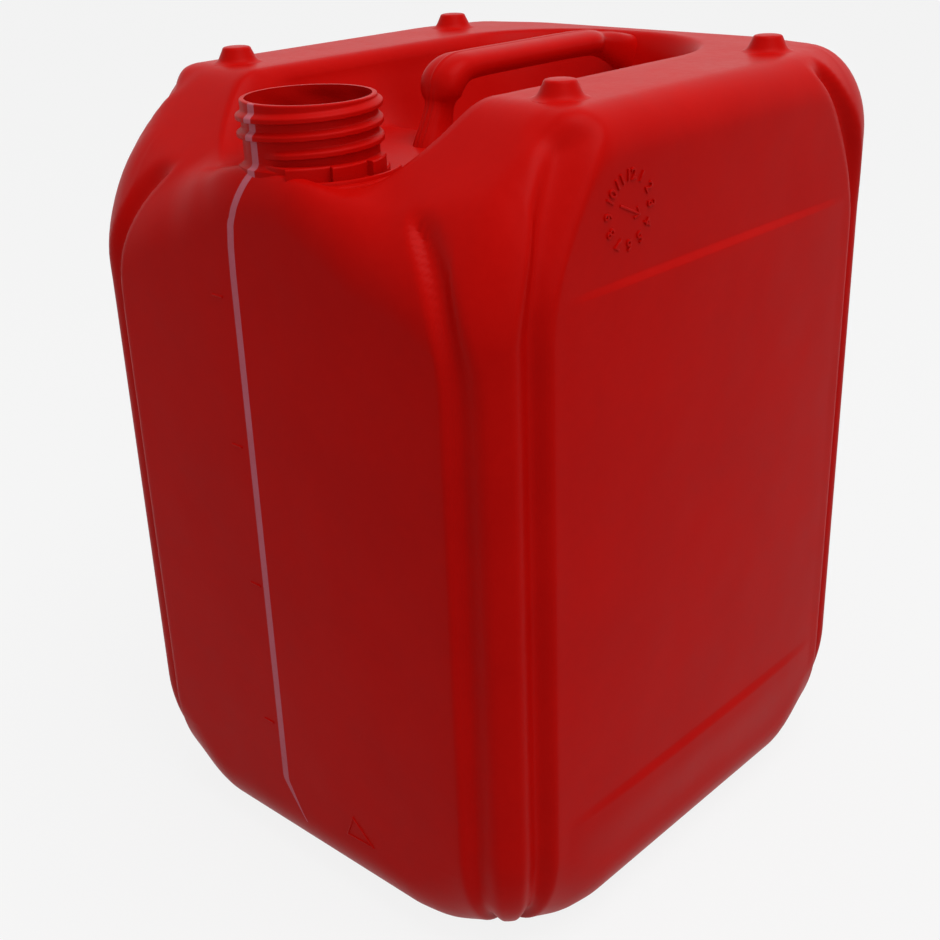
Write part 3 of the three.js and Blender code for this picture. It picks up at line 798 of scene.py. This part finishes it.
    def wall_out(self, at: Stations, inset: float, z: Array) -> Array:
        """How far the walls stand out from the outline: their panels, less the flutes and the rounded lower
        edge, a quarter ellipse that is taller at the corners."""
        upright = np.sqrt(1.0 - self.lean_under(at, inset, z) ** 2)
        out = (self.base_radius - inset) * (upright - 1.0)
        return out + self.crown(at, z) - self.flute_depth(at, z) * upright

    def lean_under(self, at: Stations, inset: float, z: Array) -> Array:
        """How far the rounded lower edge has turned under at a height: 0 on the wall and 1 at the base."""
        corner = falling(at.along, *self.base_corner_span)
        rise = between(self.base_radius, self.base_corner_rise, corner) - inset
        return np.clip(1.0 - (z - inset) / rise, 0.0, 1.0)

    def wall_rows(self, at: Stations, inset: float, start: Array) -> Array:
        """Rows of the walls: level ones up past the panel's ledges, drawn down only where the upper edge
        starts below them, then rising to that start."""
        marks = (self.pan_top, *self.lower_marks, self.shoulder_bottom, *self.upper_marks)
        level = spread(*zip(marks[:-1], marks[1:], self.level_counts))[:, None]
        past = np.maximum(level - self.shoulder_bottom, 0.0) / (marks[-1] - self.shoulder_bottom)
        cut = np.minimum(marks[-1], start - self.edge_margin)
        z = np.where(past > 0.0, between(self.shoulder_bottom, cut, past), level)
        share = np.linspace(0.0, 1.0, self.rising_count)[:, None]
        return self.wall_points(at, inset, np.concatenate([z, between(cut, start, share)]))

    def top_rows(self, at: Stations, inset: float) -> Array:
        """Rows over the upper edge and the ridges, down the valley's walls and across its floor.

        A valley wall is a rounded roll down to a crease and then a slope that eases into the floor; towards
        the neck and in the rear pocket it changes to a plain S.

        Args:
            at: Stations of the outline.
            inset: How far the skin lies inside the outer one.

        Returns:
            Rows of points up to the one in the valley's middle.
        """
        edge = self.edge_points(at, inset, arc(self.edge_count)[1:])
        end = at.moved(-self.edge(at, inset)[0], 0.0)
        lip = self.by_lip(end, inset)
        foot = self.by_lip(end, inset - self.valley_run)
        share = np.linspace(0.0, 1.0, self.ridge_count)[1:, None]
        x, y = (between(end[:, axis], lip[:, axis], share) for axis in (0, 1))
        ridge = stacked(x, y, self.top_height(x, y) - inset)

        high = self.top_height(lip[:, 0], lip[:, 1])
        low = np.minimum(self.floor_height(foot[:, 1]), high)
        creased = window(lip[:, 1], *self.crease_span)
        share = np.concatenate([self.crease_share * np.sin(arc(self.roll_count)[1:]),
                                np.linspace(self.crease_share, 1.0, self.slope_count)[1:, None]])
        roll = self.crease_drop * (1.0 - np.sqrt(1.0 - np.clip(share / self.crease_share, 0.0, 1.0) ** 2))
        down = np.clip((share - self.crease_share) / (1.0 - self.crease_share), 0.0, 1.0)
        eased = 1.0 - (1.0 - down) ** self.slope_ease
        rolled = high - roll - np.maximum(high - self.crease_drop - low, 0.0) * eased
        plain = between(high, low, smoothstep(share, 0.0, 1.0))
        x, y = (between(lip[:, axis], foot[:, axis], share) for axis in (0, 1))
        valley = stacked(x, y, between(plain, np.maximum(rolled, low), creased) - inset)

        near, far = self.floor_counts
        share = np.concatenate([np.linspace(1.0, self.floor_share, near)[1:, None],
                                np.linspace(self.floor_share, 0.0, far)[1:, None]])
        x, y = self.from_middle(foot, share)
        return np.concatenate([edge, ridge, valley, stacked(x, y, self.floor_height(y) - inset)])

    def skin(self, inset: float) -> Array:
        """The whole skin, moved in by an inset, as rows of points from the base to the valley's middle."""
        at = self.outline(inset)
        start = self.edge_start(self.outline(0.0))
        return np.concatenate([self.base_rows(at, inset), self.fillet_rows(at, inset),
                               self.wall_rows(at, inset, start), self.top_rows(at, inset)])

    def build(self, material: Material) -> None:
        """Builds the base pan, the walls and the shoulder as closed walls that meet at the cuts."""
        outer, inner = self.skin(0.0), self.skin(self.wall)
        heights = outer[:self.rows_below_edge, 0, 2]
        pan_row, shoulder_row = (int(np.argmin(np.abs(heights - cut)))
                                 for cut in (self.pan_top, self.shoulder_bottom))
        pan = shell(outer[:pan_row + 1], inner[:pan_row + 1], poles=(True, False))
        fit(put_mesh("body_base", [pan]), material, Slot.RED, "base_pan")
        walls = shell(outer[pan_row:shoulder_row + 1], inner[pan_row:shoulder_row + 1])
        fit(put_mesh("body_sides", [walls]), material, Slot.RED, "body_walls")

        top, under = outer[shoulder_row:], inner[shoulder_row:]
        middles = (top[:-1] + top[1:] + np.roll(top[:-1] + top[1:], -1, axis=1)) / 4
        from_neck = np.hypot(middles[..., 0], middles[..., 1] - self.neck_y)
        lowest = self.deck_height - self.valley_depth
        kept = (from_neck > self.neck_hole_radius) | (middles[..., 2] < lowest)
        shoulder = shell(top, under, kept=kept, poles=(False, True))
        fit(put_mesh("body_shoulder", [shoulder]), material, Slot.RED, "top_shoulder")


@dataclass
class Neck:
    """Open neck: bore, rounded rim, helical thread, ratchet lugs and the stepped platform at its foot.

    Angles are in degrees from +X. A bore wave has a height, a count round the bore and a twist to the
    millimetre; a platform step is a list of how far out and how far down its points lie.
    """

    body: Body
    middle_y: float = field(init=False)
    deck: float = field(init=False)
    front_edge: float = field(init=False)
    rim_height: float = field(init=False)
    front_margin: float = 5.0
    bore_radius: float = 25.9
    bore_growth: float = 0.3
    bore_span: Span = (0.5, 6.0)
    bore_waves: tuple[tuple[float, int, float], ...] = ((0.4, 3, 0.09), (0.3, 7, -0.21))
    bore_count: int = 30
    root_radius: float = 27.9
    rim_round: float = 0.7
    rim_gap: float = 0.01
    rim_count: int = 6
    outside_count: int = 112
    thread_height: float = 2.2
    thread_pitch: float = 6.9
    thread_first: float = -85.0
    thread_last: float = 810.0
    thread_lead: float = 24.0
    thread_runout: float = 40.0
    thread_start: float = 349.9
    crest_half: float = 0.7
    upper_flank: float = 2.3
    lower_flank: float = 0.7
    collar_radius: float = 31.6
    collar_height: float = 2.6
    collar_chamfer: float = 0.8
    collar_span: Span = (-0.5, -0.3)
    lug_radius: float = 34.0
    lug_end_radius: float = 30.9
    lug_height: float = 8.2
    lug_chamfer: float = 0.5
    lug_top_gap: float = 0.02
    lug_side_gap: float = 0.1
    lug_first: float = -60.0
    lug_span: float = 31.5
    lug_count: int = 3
    lead_in: Span = (-88.0, -62.0)
    fillet: float = 2.6
    foot_rise: float = 6.0
    foot_span: Span = (0.5, 0.85)
    platform_radii: Span = (36.8, 39.8)
    platform_rise: Span = (-1.6, 3.2)
    inner_step: Pairs = ((-0.8, 0.0), (-0.2, 0.2), (0.0, 0.6), (0.1, 1.6))
    outer_step: Pairs = ((-0.9, 1.65), (-0.3, 1.8), (0.0, 2.2), (0.3, 3.5))
    least_forward: float = 0.3
    platform_span: Window = (-54.0, -42.0, 34.0, 50.0)
    sunk: float = 9.0
    sharp: float = 38.0

    def __post_init__(self) -> None:
        """Takes the rim's height from the frame and the neck's place from the body."""
        self.rim_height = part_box("neck_finish")[1].z / MM
        self.middle_y, self.deck = self.body.neck_y, self.body.deck_height
        self.front_edge = self.front_margin - self.body.half_depth

    def thread(self, angle: Array, z: Array) -> Array:
        """How far the thread stands proud: at each turn, a flat crest on the helix with a long upper and a
        short lower flank, faded in and out at its two ends."""
        first, last = np.floor(self.thread_first / 360.0), np.ceil(self.thread_last / 360.0)
        turns = angle + 360.0 * np.arange(first, last + 1.0).reshape(-1, 1, 1)
        crest = self.thread_start + self.thread_pitch * (turns - self.thread_first) / 360.0
        ends = window(turns, self.thread_first, self.thread_first + self.thread_lead,
                      self.thread_last - self.thread_runout, self.thread_last)
        above = np.maximum(z - crest - self.crest_half, 0.0) / self.upper_flank
        under = np.maximum(crest - z - self.crest_half, 0.0) / self.lower_flank
        return self.thread_height * (ends * falling(above + under, 0.0, 1.0)).max(axis=0)

    def lugs(self, angle: Array) -> Array:
        """Radius of the ratchet lugs by angle: each steps out and ramps back in, in two opposite sets with
        one less behind, and a lead-in that grows out of the wall before the first set."""
        turned = np.mod(angle - self.lug_first, 360.0)
        behind = turned >= 180.0
        turned = np.mod(turned, 180.0)
        share = np.mod(turned, self.lug_span) / self.lug_span
        radius = between(self.lug_radius, self.lug_end_radius, share)
        lead = between(self.root_radius, self.lug_end_radius, smoothstep(self.signed(angle), *self.lead_in))
        led = np.where(self.signed(angle) < self.lug_first, lead, 0.0)
        return np.where(turned < self.lug_span * (self.lug_count - behind), radius, led)

    @staticmethod
    def signed(angle: Array) -> Array:
        """Angle from -180 to 180 degrees."""
        return np.mod(angle + 180.0, 360.0) - 180.0

    def wall_radius(self, angle: Array, z: Array) -> Array:
        """Radius of the outside: the largest of root with thread, lugs, collar and foot fillet."""
        radius = self.root_radius + self.thread(angle, z)
        lug_top = self.deck + self.lug_height
        chamfer = np.maximum(z - lug_top + self.lug_chamfer, 0.0)
        radius = np.maximum(radius, np.where(z <= lug_top, self.lugs(angle) - chamfer, 0.0))
        back = np.sin(np.radians(angle))
        collar_top = self.deck + self.collar_height
        chamfer = np.maximum(z - collar_top + self.collar_chamfer, 0.0)
        shown = smoothstep(back, *self.collar_span)
        collar = between(self.root_radius, self.collar_radius, shown) - chamfer
        radius = np.maximum(radius, np.where(z <= collar_top, collar, 0.0))
        foot = self.deck + self.foot_rise * smoothstep(-back, *self.foot_span)
        low = np.clip((foot + self.fillet - z) / self.fillet, 0.0, 1.0)
        return np.maximum(radius, self.root_radius + self.fillet * (1.0 - np.sqrt(1.0 - low ** 2)))

    def angles(self) -> Array:
        """Angles round the neck, a degree apart, with close pairs at the lugs' steps."""
        steps = self.lug_first + self.lug_span * np.arange(self.lug_count + 1)
        pairs = np.concatenate([steps - self.lug_side_gap, steps + self.lug_side_gap])
        angles = np.concatenate([np.arange(0.0, 360.0), pairs, pairs + 180.0])
        return np.unique(np.mod(angles, 360.0).round(3))

    def heights(self) -> Array:
        """Heights down the outside, close together at the lugs' tops."""
        lug_top = self.deck + self.lug_height
        even = np.linspace(self.rim_height - self.rim_round, self.deck, self.outside_count)
        extra = [lug_top - self.lug_top_gap, lug_top + self.lug_top_gap, self.deck - self.sunk]
        return np.sort(np.concatenate([even, extra]))[::-1]

    def placed(self, angle: Array, radius: Array, z: Array) -> Array:
        """Points from angles, radii and heights about the neck's axis."""
        turned = np.radians(angle)
        return stacked(radius * np.cos(turned), self.middle_y + radius * np.sin(turned), z)

    def outside(self, angle: Array) -> Array:
        """Points of the rim's round and the outside, from the bore's edge down to the deck."""
        lean = arc(self.rim_count)
        rim = self.placed(angle, self.root_radius - self.rim_round * (1.0 - np.sin(lean)),
                          self.rim_height - self.rim_round * (1.0 - np.cos(lean)))
        z = self.heights()[1:, None]
        return np.concatenate([rim, self.placed(angle, self.wall_radius(angle, z), z)])

    def platform(self, angle: Array) -> Array:
        """Points of the platform round the lugs: two low rounded steps, straight along the front edge, that
        sink into the deck towards the front and the rear, then its sunk edge."""
        forward = np.maximum(-np.sin(np.radians(angle)), self.least_forward)
        limit = (self.middle_y - self.front_edge) / forward
        inner, outer = self.platform_radii
        inner, outer = np.minimum(inner, limit - outer + inner), np.minimum(outer, limit)
        top = self.deck + between(*self.platform_rise, window(self.signed(angle), *self.platform_span))
        rows = [(inner + out, top - drop) for out, drop in self.inner_step]
        rows += [(outer + out, top - drop) for out, drop in self.outer_step]
        rows.append((rows[-1][0], self.deck - self.sunk))
        return np.stack([self.placed(angle, radius, z) for radius, z in rows])

    def bore(self, angle: Array) -> Array:
        """Points of the bore from its lower end up to the rim, a little wavy as blown plastic is."""
        z = np.linspace(self.deck - self.sunk, self.rim_height - self.rim_gap, self.bore_count)[:, None]
        turned = np.radians(angle)
        inside = smoothstep(self.rim_height - z, *self.bore_span)
        wave = sum(height * np.sin(count * turned + twist * z) for height, count, twist in self.bore_waves)
        return self.placed(angle, self.bore_radius + inside * (wave + self.bore_growth), z)

    def build(self, material: Material) -> None:
        """Builds the neck as one closed ring: up the bore, over the rim, down the outside and back below."""
        angle = self.angles()
        profile = np.concatenate([self.bore(angle), self.outside(angle), self.platform(angle)])
        ring = ring_skin(profile[::-1], closed_rows=True)
        fit(put_mesh("neck", [ring], sharp=self.sharp), material, Slot.RED, "neck_finish")


@dataclass
class LevelStripe:
    """Stripe of uncoloured plastic up the front wall, over its edge and up the neck over the thread."""

    body: Body
    neck: Neck
    half_width: float = 2.0
    path_x: Row = (-3.0, -9.0, -16.0, -16.0, -15.6, -14.4, -11.4, -8.2, -5.4, -2.8, -1.6)
    path_z: Row = (26.0, 35.0, 46.0, 300.0, 312.0, 321.8, 329.0, 335.0, 340.0, 344.5, 347.0)
    taper_top: float = 50.0
    end_half_width: float = 0.35
    neck_angle: float = -96.0
    neck_half_angle: float = 4.6
    edge_x: float = -8.2
    edge_end: float = 80.0
    edge_count: int = 60
    wall_count: int = 140
    columns: int = 9
    proud: float = 0.06
    depth: float = 0.6

    def on_path(self, z: Array, off: Array) -> Stations:
        """Stations of the front wall at distances off the stripe's middle line."""
        return self.body.wall_stations(Side.FRONT, np.interp(z, self.path_z, self.path_x) + off)

    def build(self, material: Material) -> None:
        """Builds the stripe as two thin ribbons that follow the wall and the neck."""
        share = np.linspace(-1.0, 1.0, self.columns)
        middle = self.body.wall_stations(Side.FRONT, np.full((1, 1), self.edge_x))
        start = float(self.body.edge_start(middle)[0, 0])
        z = np.linspace(self.path_z[0], start, self.wall_count, endpoint=False)[:, None]
        half = between(self.end_half_width, self.half_width, smoothstep(z, self.path_z[0], self.taper_top))
        at = self.on_path(z, half * share)
        wall = at.moved(self.body.wall_out(at, 0.0, z), z)

        lean = arc(self.edge_count, self.edge_end)
        z = self.body.edge_points(middle, 0.0, lean)[..., 2]
        at = self.on_path(z, self.half_width * share)
        front = ribbon(np.concatenate([wall, self.body.edge_points(at, 0.0, lean)]), self.proud, self.depth)

        rows = self.neck.outside(self.neck_angle + self.neck_half_angle * share)[::-1]
        up = ribbon(rows, self.proud, self.depth)
        fit(put_mesh("level_stripe", [front, up]), material, Slot.STRIPE, "view_stripe")


@dataclass
class CarryHandle:
    """Moulded handle: a pinched front leg, a bulbous elbow, the bar with its seam, and a thin rear web."""

    top: float = field(init=False)
    squareness: float = 0.82
    bunching: float = 0.28
    seam_height: float = 0.35
    seam_width: float = 0.7
    flash_places: Row = (-2.6, 2.4)
    flash_height: float = 0.4
    flash_width: float = 0.6
    leg_span: Span = (0.22, 0.34)
    sides: int = 96
    steps: int = 220
    places_y: Row = (-34.0, -33.2, -32.2, -30.8, -29.8, -28.9, -26.6, -20.5, -10.0, 20.0,
                     58.0, 73.0, 79.5, 84.5, 95.0, 108.0, 121.0)
    drops: Row = (45.0, 36.5, 30.0, 24.5, 20.5, 16.5, 11.4, 7.4, 6.3, 6.2,
                  6.3, 6.7, 7.5, 8.6, 11.4, 16.4, 22.0)
    half_widths: Row = (9.5, 7.6, 6.2, 5.8, 6.6, 9.9, 11.0, 11.0, 11.0, 11.0,
                        11.0, 10.8, 7.5, 4.6, 4.2, 6.0, 9.5)
    half_heights: Row = (13.5, 10.6, 8.0, 6.6, 6.2, 6.8, 7.2, 6.6, 6.0, 5.8,
                         5.8, 5.9, 5.9, 5.9, 7.5, 10.0, 13.0)

    def __post_init__(self) -> None:
        """Takes the handle's top from the frame."""
        self.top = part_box("carry_handle")[1].z / MM

    @staticmethod
    def smooth(knots: Row, share: Array) -> Array:
        """Values on a Catmull-Rom curve through evenly spaced knots at shares of its length."""
        known = np.array([knots[0], *knots, knots[-1]])
        at = share * (len(knots) - 1)
        first = np.minimum(at.astype(int), len(knots) - 2)
        t = at - first
        before, start, end, after = (known[first + k] for k in range(4))
        return 0.5 * (2 * start + (end - before) * t + (2 * before - 5 * start + 4 * end - after) * t ** 2
                      + (3 * start - before - 3 * end + after) * t ** 3)

    def build(self, material: Material) -> None:
        """Builds the handle from rounded-square sections across its middle line, with a fine seam along the
        top and two more flash lines down the leg."""
        share = np.linspace(0.0, 1.0, self.steps)
        y = self.smooth(self.places_y, share)
        z = self.top - self.smooth(self.drops, share)
        half_width = self.smooth(self.half_widths, share)[:, None]
        half_height = self.smooth(self.half_heights, share)[:, None]
        along_y, along_z = np.gradient(y), np.gradient(z)
        length = np.hypot(along_y, along_z)
        up_y, up_z = (-along_z / length)[:, None], (along_y / length)[:, None]

        turn = np.linspace(0.0, 2 * np.pi, self.sides, endpoint=False)
        turn = turn + self.bunching * np.sin(2 * turn)
        sine, cosine = np.sin(turn), np.cos(turn)
        across = half_width * np.sign(cosine) * np.abs(cosine) ** self.squareness
        rise = half_height * np.sign(sine) * np.abs(sine) ** self.squareness
        on_leg = falling(share, *self.leg_span)[:, None]
        seam = self.seam_height * np.exp(-(across / self.seam_width) ** 2)
        flash = sum(np.exp(-((across - place) / self.flash_width) ** 2) for place in self.flash_places)
        rise = rise + np.where(sine > 0.0, seam + flash * on_leg * self.flash_height, 0.0)
        rings = stacked(-across, y[:, None] + up_y * rise, z[:, None] + up_z * rise)
        ends = [np.broadcast_to(ring.mean(axis=0), ring.shape)[None] for ring in (rings[0], rings[-1])]
        skin = ring_skin(np.concatenate([ends[0], rings, ends[1]]))
        fit(put_mesh("handle", [skin]), material, Slot.RED, "carry_handle")


@dataclass
class StackingStuds:
    """Four tapered studs on the ridges, with a fillet at the foot and a softened top."""

    radii: Row = (0.0, 12.4, 12.4, 11.3, 10.3, 9.4, 8.8, 8.3, 6.8, 6.5, 6.0, 5.2, 0.0)
    rises: Row = (-3.0, -3.0, -0.12, 0.1, 0.45, 1.0, 1.7, 2.6, 5.7, 6.4, 6.8, 7.0, 7.0)
    segments: int = 72
    sharp: float = 60.0

    def build(self, material: Material) -> None:
        """Turns the stud's profile about each stud's axis."""
        turn = np.linspace(0.0, 2 * np.pi, self.segments, endpoint=False)
        radius, rise = np.array(self.radii)[:, None], np.array(self.rises)[:, None]
        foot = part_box("top_shoulder")[1].z / MM
        for row in ("front", "rear"):
            for side in ("left", "right"):
                node = f"stacking_stud_{row}_{side}"
                low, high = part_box(node)
                middle = (low + high) / 2 / MM
                x, y = middle.x + radius * np.cos(turn), middle.y + radius * np.sin(turn)
                stud = ring_skin(stacked(x, y, foot + rise))
                fit(put_mesh(f"stud_{row}_{side}", [stud], self.sharp), material, Slot.RED, node)


@dataclass
class MouldMarks:
    """Raised marks from the mould: level ticks, a triangle and a date dial with plain numbers."""

    body: Body
    height: float = 0.55
    bead_depth: float = 0.4
    bead_fall: float = 0.98
    bead_count: int = 7
    tick_places: Pairs = ((-28.5, 289.0), (-26.0, 220.5), (-23.5, 151.6), (-24.5, 76.2))
    tick_length: float = 6.8
    tick_width: float = 1.1
    tick_count: int = 5
    triangle: Pairs = ((27.3, 35.0), (44.2, 35.9), (32.0, 46.3))
    triangle_width: float = 1.0
    hours: int = 12
    dial_middle: Span = (-64.0, 332.4)
    number_ring: float = 13.3
    number_size: float = 6.3
    number_bevel: float = 0.14
    number_lift: float = 0.2
    arrow_length: float = 6.8
    arrow_lean: float = -23.7
    arrow_head: Span = (2.6, 2.2)
    arrow_widths: Span = (1.2, 1.0)
    arrow_count: int = 6

    def on_wall(self, side: Side, points: Array) -> Array:
        """Points on a wall from places across it, heights, and how far they stand out from its skin."""
        across, z, out = points[..., 0], points[..., 1], points[..., 2]
        at = self.body.wall_stations(side, across)
        return at.moved(self.body.wall_out(at, 0.0, z) + out, z)

    def bead(self, side: Side, path: Array, width: float, closed: bool) -> Part:
        """Rounded bead along a path on a wall: a half-round section, mitred where the path turns.

        Args:
            side: The wall.
            path: Places across the wall and heights.
            width: The bead's width.
            closed: Whether the path's end meets its start.

        Returns:
            Points and faces.
        """
        ahead = np.roll(path, -1, axis=0) - path
        if not closed:
            ahead[-1] = ahead[-2]
        ahead /= np.linalg.norm(ahead, axis=1, keepdims=True)
        behind = np.roll(ahead, 1, axis=0)
        if not closed:
            behind[0] = ahead[0]
        left, left_behind = (np.stack([-run[:, 1], run[:, 0]], axis=1) for run in (ahead, behind))
        mitre = (left + left_behind) / (1.0 + (left * left_behind).sum(axis=1, keepdims=True))
        share = np.linspace(-1.0, 1.0, self.bead_count)[:, None, None]
        flat = path + mitre * share * width / 2
        rise = self.height * np.sqrt(1.0 - share[..., 0] ** 2 * self.bead_fall)
        top, under = (self.on_wall(side, stacked(flat[..., 0], flat[..., 1], out))
                      for out in (rise, -self.bead_depth))
        return shell(top, under, wrap=closed)

    def number(self, text: str, turned: float) -> Part:
        """A raised number of the dial, turned about the dial's middle.

        Args:
            text: The number.
            turned: Clockwise angle from the top in degrees.

        Returns:
            Points and three-cornered faces on the right wall.
        """
        curve = bpy.data.curves.new("number", "FONT")
        curve.body = text
        curve.size = self.number_size
        curve.align_x, curve.align_y = "CENTER", "CENTER"
        curve.extrude = self.height / 2
        curve.bevel_depth = self.number_bevel
        curve.bevel_resolution = 1
        letter = add_object("number", curve)
        mesh = bpy.data.meshes.new_from_object(letter.evaluated_get(bpy.context.evaluated_depsgraph_get()))
        mesh.calc_loop_triangles()
        points = np.empty(3 * len(mesh.vertices), np.float32)
        mesh.vertices.foreach_get("co", points)
        faces = np.empty(3 * len(mesh.loop_triangles), np.int32)
        mesh.loop_triangles.foreach_get("vertices", faces)
        bpy.data.objects.remove(letter)
        bpy.data.curves.remove(curve)
        bpy.data.meshes.remove(mesh)
        across, up, out = points.reshape(-1, 3).T.astype(float)
        angle = np.radians(turned)
        up = up + self.number_ring
        middle, height = self.dial_middle
        placed = stacked(middle + across * np.cos(angle) + up * np.sin(angle),
                         height - across * np.sin(angle) + up * np.cos(angle), out + self.number_lift)
        return self.on_wall(Side.RIGHT, placed), faces.reshape(-1, 3)

    def build(self, material: Material) -> None:
        """Builds the ticks, the triangle and the dial."""
        reach = np.linspace(-self.tick_length / 2, self.tick_length / 2, self.tick_count)
        paths = [np.stack([x + reach, np.full_like(reach, z)], axis=1) for x, z in self.tick_places]
        ticks = [self.bead(Side.FRONT, path, self.tick_width, False) for path in paths]
        fit(put_mesh("level_ticks", ticks), material, Slot.RED)
        triangle = self.bead(Side.FRONT, np.array(self.triangle), self.triangle_width, True)
        fit(put_mesh("triangle_mark", [triangle]), material, Slot.RED)

        numbers = [self.number(str(hour), 360.0 / self.hours * hour) for hour in range(1, self.hours + 1)]
        middle = np.array(self.dial_middle)
        lean = np.radians(self.arrow_lean)
        along, over = np.array([np.cos(lean), np.sin(lean)]), np.array([-np.sin(lean), np.cos(lean)])
        tip = middle + along * self.arrow_length
        shaft = np.linspace(middle - along * self.arrow_length, tip, self.arrow_count)
        back, half = self.arrow_head
        head = np.array([tip - along * back + over * half, tip, tip - along * back - over * half])
        strokes = [self.bead(Side.RIGHT, path, width, False)
                   for path, width in zip((shaft, head), self.arrow_widths)]
        fit(put_mesh("date_dial", numbers + strokes), material, Slot.RED)


@dataclass(frozen=True)
class Lamp:
    """Square soft lamp: its name, its place and side in metres, and its power in watts."""

    name: str
    place: Triple
    size: float
    power: float

    def build(self, aim: Vector) -> None:
        """Adds the lamp, facing a point in metres."""
        light = bpy.data.lights.new(self.name, "AREA")
        light.size = self.size
        light.energy = self.power
        lamp = add_object(self.name, light)
        lamp.location = self.place
        lamp.rotation_euler = (aim - lamp.location).to_track_quat("-Z", "Y").to_euler()


@dataclass
class Studio:
    """Pale floor, soft light from above and from the right, and the camera."""

    floor_half: float = 6.0
    floor_colour: Triple = (0.5, 0.5, 0.5)
    floor_white: float = 0.86
    sky: float = 0.46
    lamps: tuple[Lamp, ...] = (Lamp("overhead", (0.57, 0.0, 1.8), 1.2, 18.0),
                               Lamp("right_side", (1.8, -0.7, 1.2), 1.4, 4.5))
    aim_height: float = 0.2
    camera_place: Triple = (437.74, -481.9, 458.33)
    camera_pitch: float = -24.12
    camera_azimuth: float = 43.39
    camera_roll: float = -2.06
    focal_pixels: float = 1387.03
    image_pixels: float = 940.0
    sensor_width: float = 36.0

    def floor(self) -> None:
        """Adds the floor, near white where it is seen, and with the object's shadow."""
        half = self.floor_half / MM
        corner = np.array([-half, half])
        x, y = np.meshgrid(corner, corner)
        points = stacked(x, y, 0.0)
        floor = put_mesh("floor", [(points.reshape(-1, 3), np.array([[0, 1, 3, 2]]))])
        material = bpy.data.materials.new("floor_paper")
        graph = Graph(material)
        paper = graph.node("ShaderNodeBsdfDiffuse", {}, {"Color": (*self.floor_colour, 1.0)})
        white = graph.node("ShaderNodeEmission", {}, {"Color": WHITE, "Strength": 1.0})
        share = graph.seen() * self.floor_white
        shown = graph.node("ShaderNodeMixShader", {}, {0: share, 1: paper, 2: white})
        graph.node("ShaderNodeOutputMaterial", {}, {"Surface": shown})
        floor.data.materials.append(material)

    def world(self) -> None:
        """Sets an even soft sky, white where it is seen."""
        world = bpy.data.worlds.new("studio")
        bpy.context.scene.world = world
        graph = Graph(world)
        seen = graph.seen()
        strength = seen + (1.0 - seen) * self.sky
        sky = graph.node("ShaderNodeBackground", {}, {"Color": WHITE, "Strength": strength})
        graph.node("ShaderNodeOutputWorld", {}, {"Surface": sky})

    def camera(self) -> None:
        """Adds the camera at the photograph's viewing angle."""
        lens = bpy.data.cameras.new("camera")
        lens.sensor_width = self.sensor_width
        lens.lens = self.focal_pixels / self.image_pixels * self.sensor_width
        camera = add_object("camera", lens)
        turn, tilt, roll = np.radians((self.camera_azimuth, 90.0 + self.camera_pitch, self.camera_roll))
        place = Matrix.Translation([value * MM for value in self.camera_place])
        camera.matrix_world = (place @ Matrix.Rotation(turn, 4, "Z") @ Matrix.Rotation(tilt, 4, "X")
                               @ Matrix.Rotation(roll, 4, "Z"))
        bpy.context.scene.camera = camera

    def build(self) -> None:
        """Sets up the floor, the light and the camera."""
        self.floor()
        self.world()
        for lamp in self.lamps:
            lamp.build(Vector((0.0, 0.0, self.aim_height)))
        self.camera()
        bpy.context.scene.view_settings.view_transform = "Standard"


def main() -> None:
    """Builds the can and the studio."""
    logging.basicConfig(level=logging.INFO, format="%(name)s: %(message)s")
    red, stripe = RED_PLASTIC.material(), STRIPE_PLASTIC.material()
    body = Body()
    body.build(red)
    neck = Neck(body)
    neck.build(red)
    LevelStripe(body, neck).build(stripe)
    CarryHandle().build(red)
    StackingStuds().build(red)
    MouldMarks(body).build(red)
    Studio().build()
    bpy.context.view_layer.update()


if __name__ == "__main__":
    main()
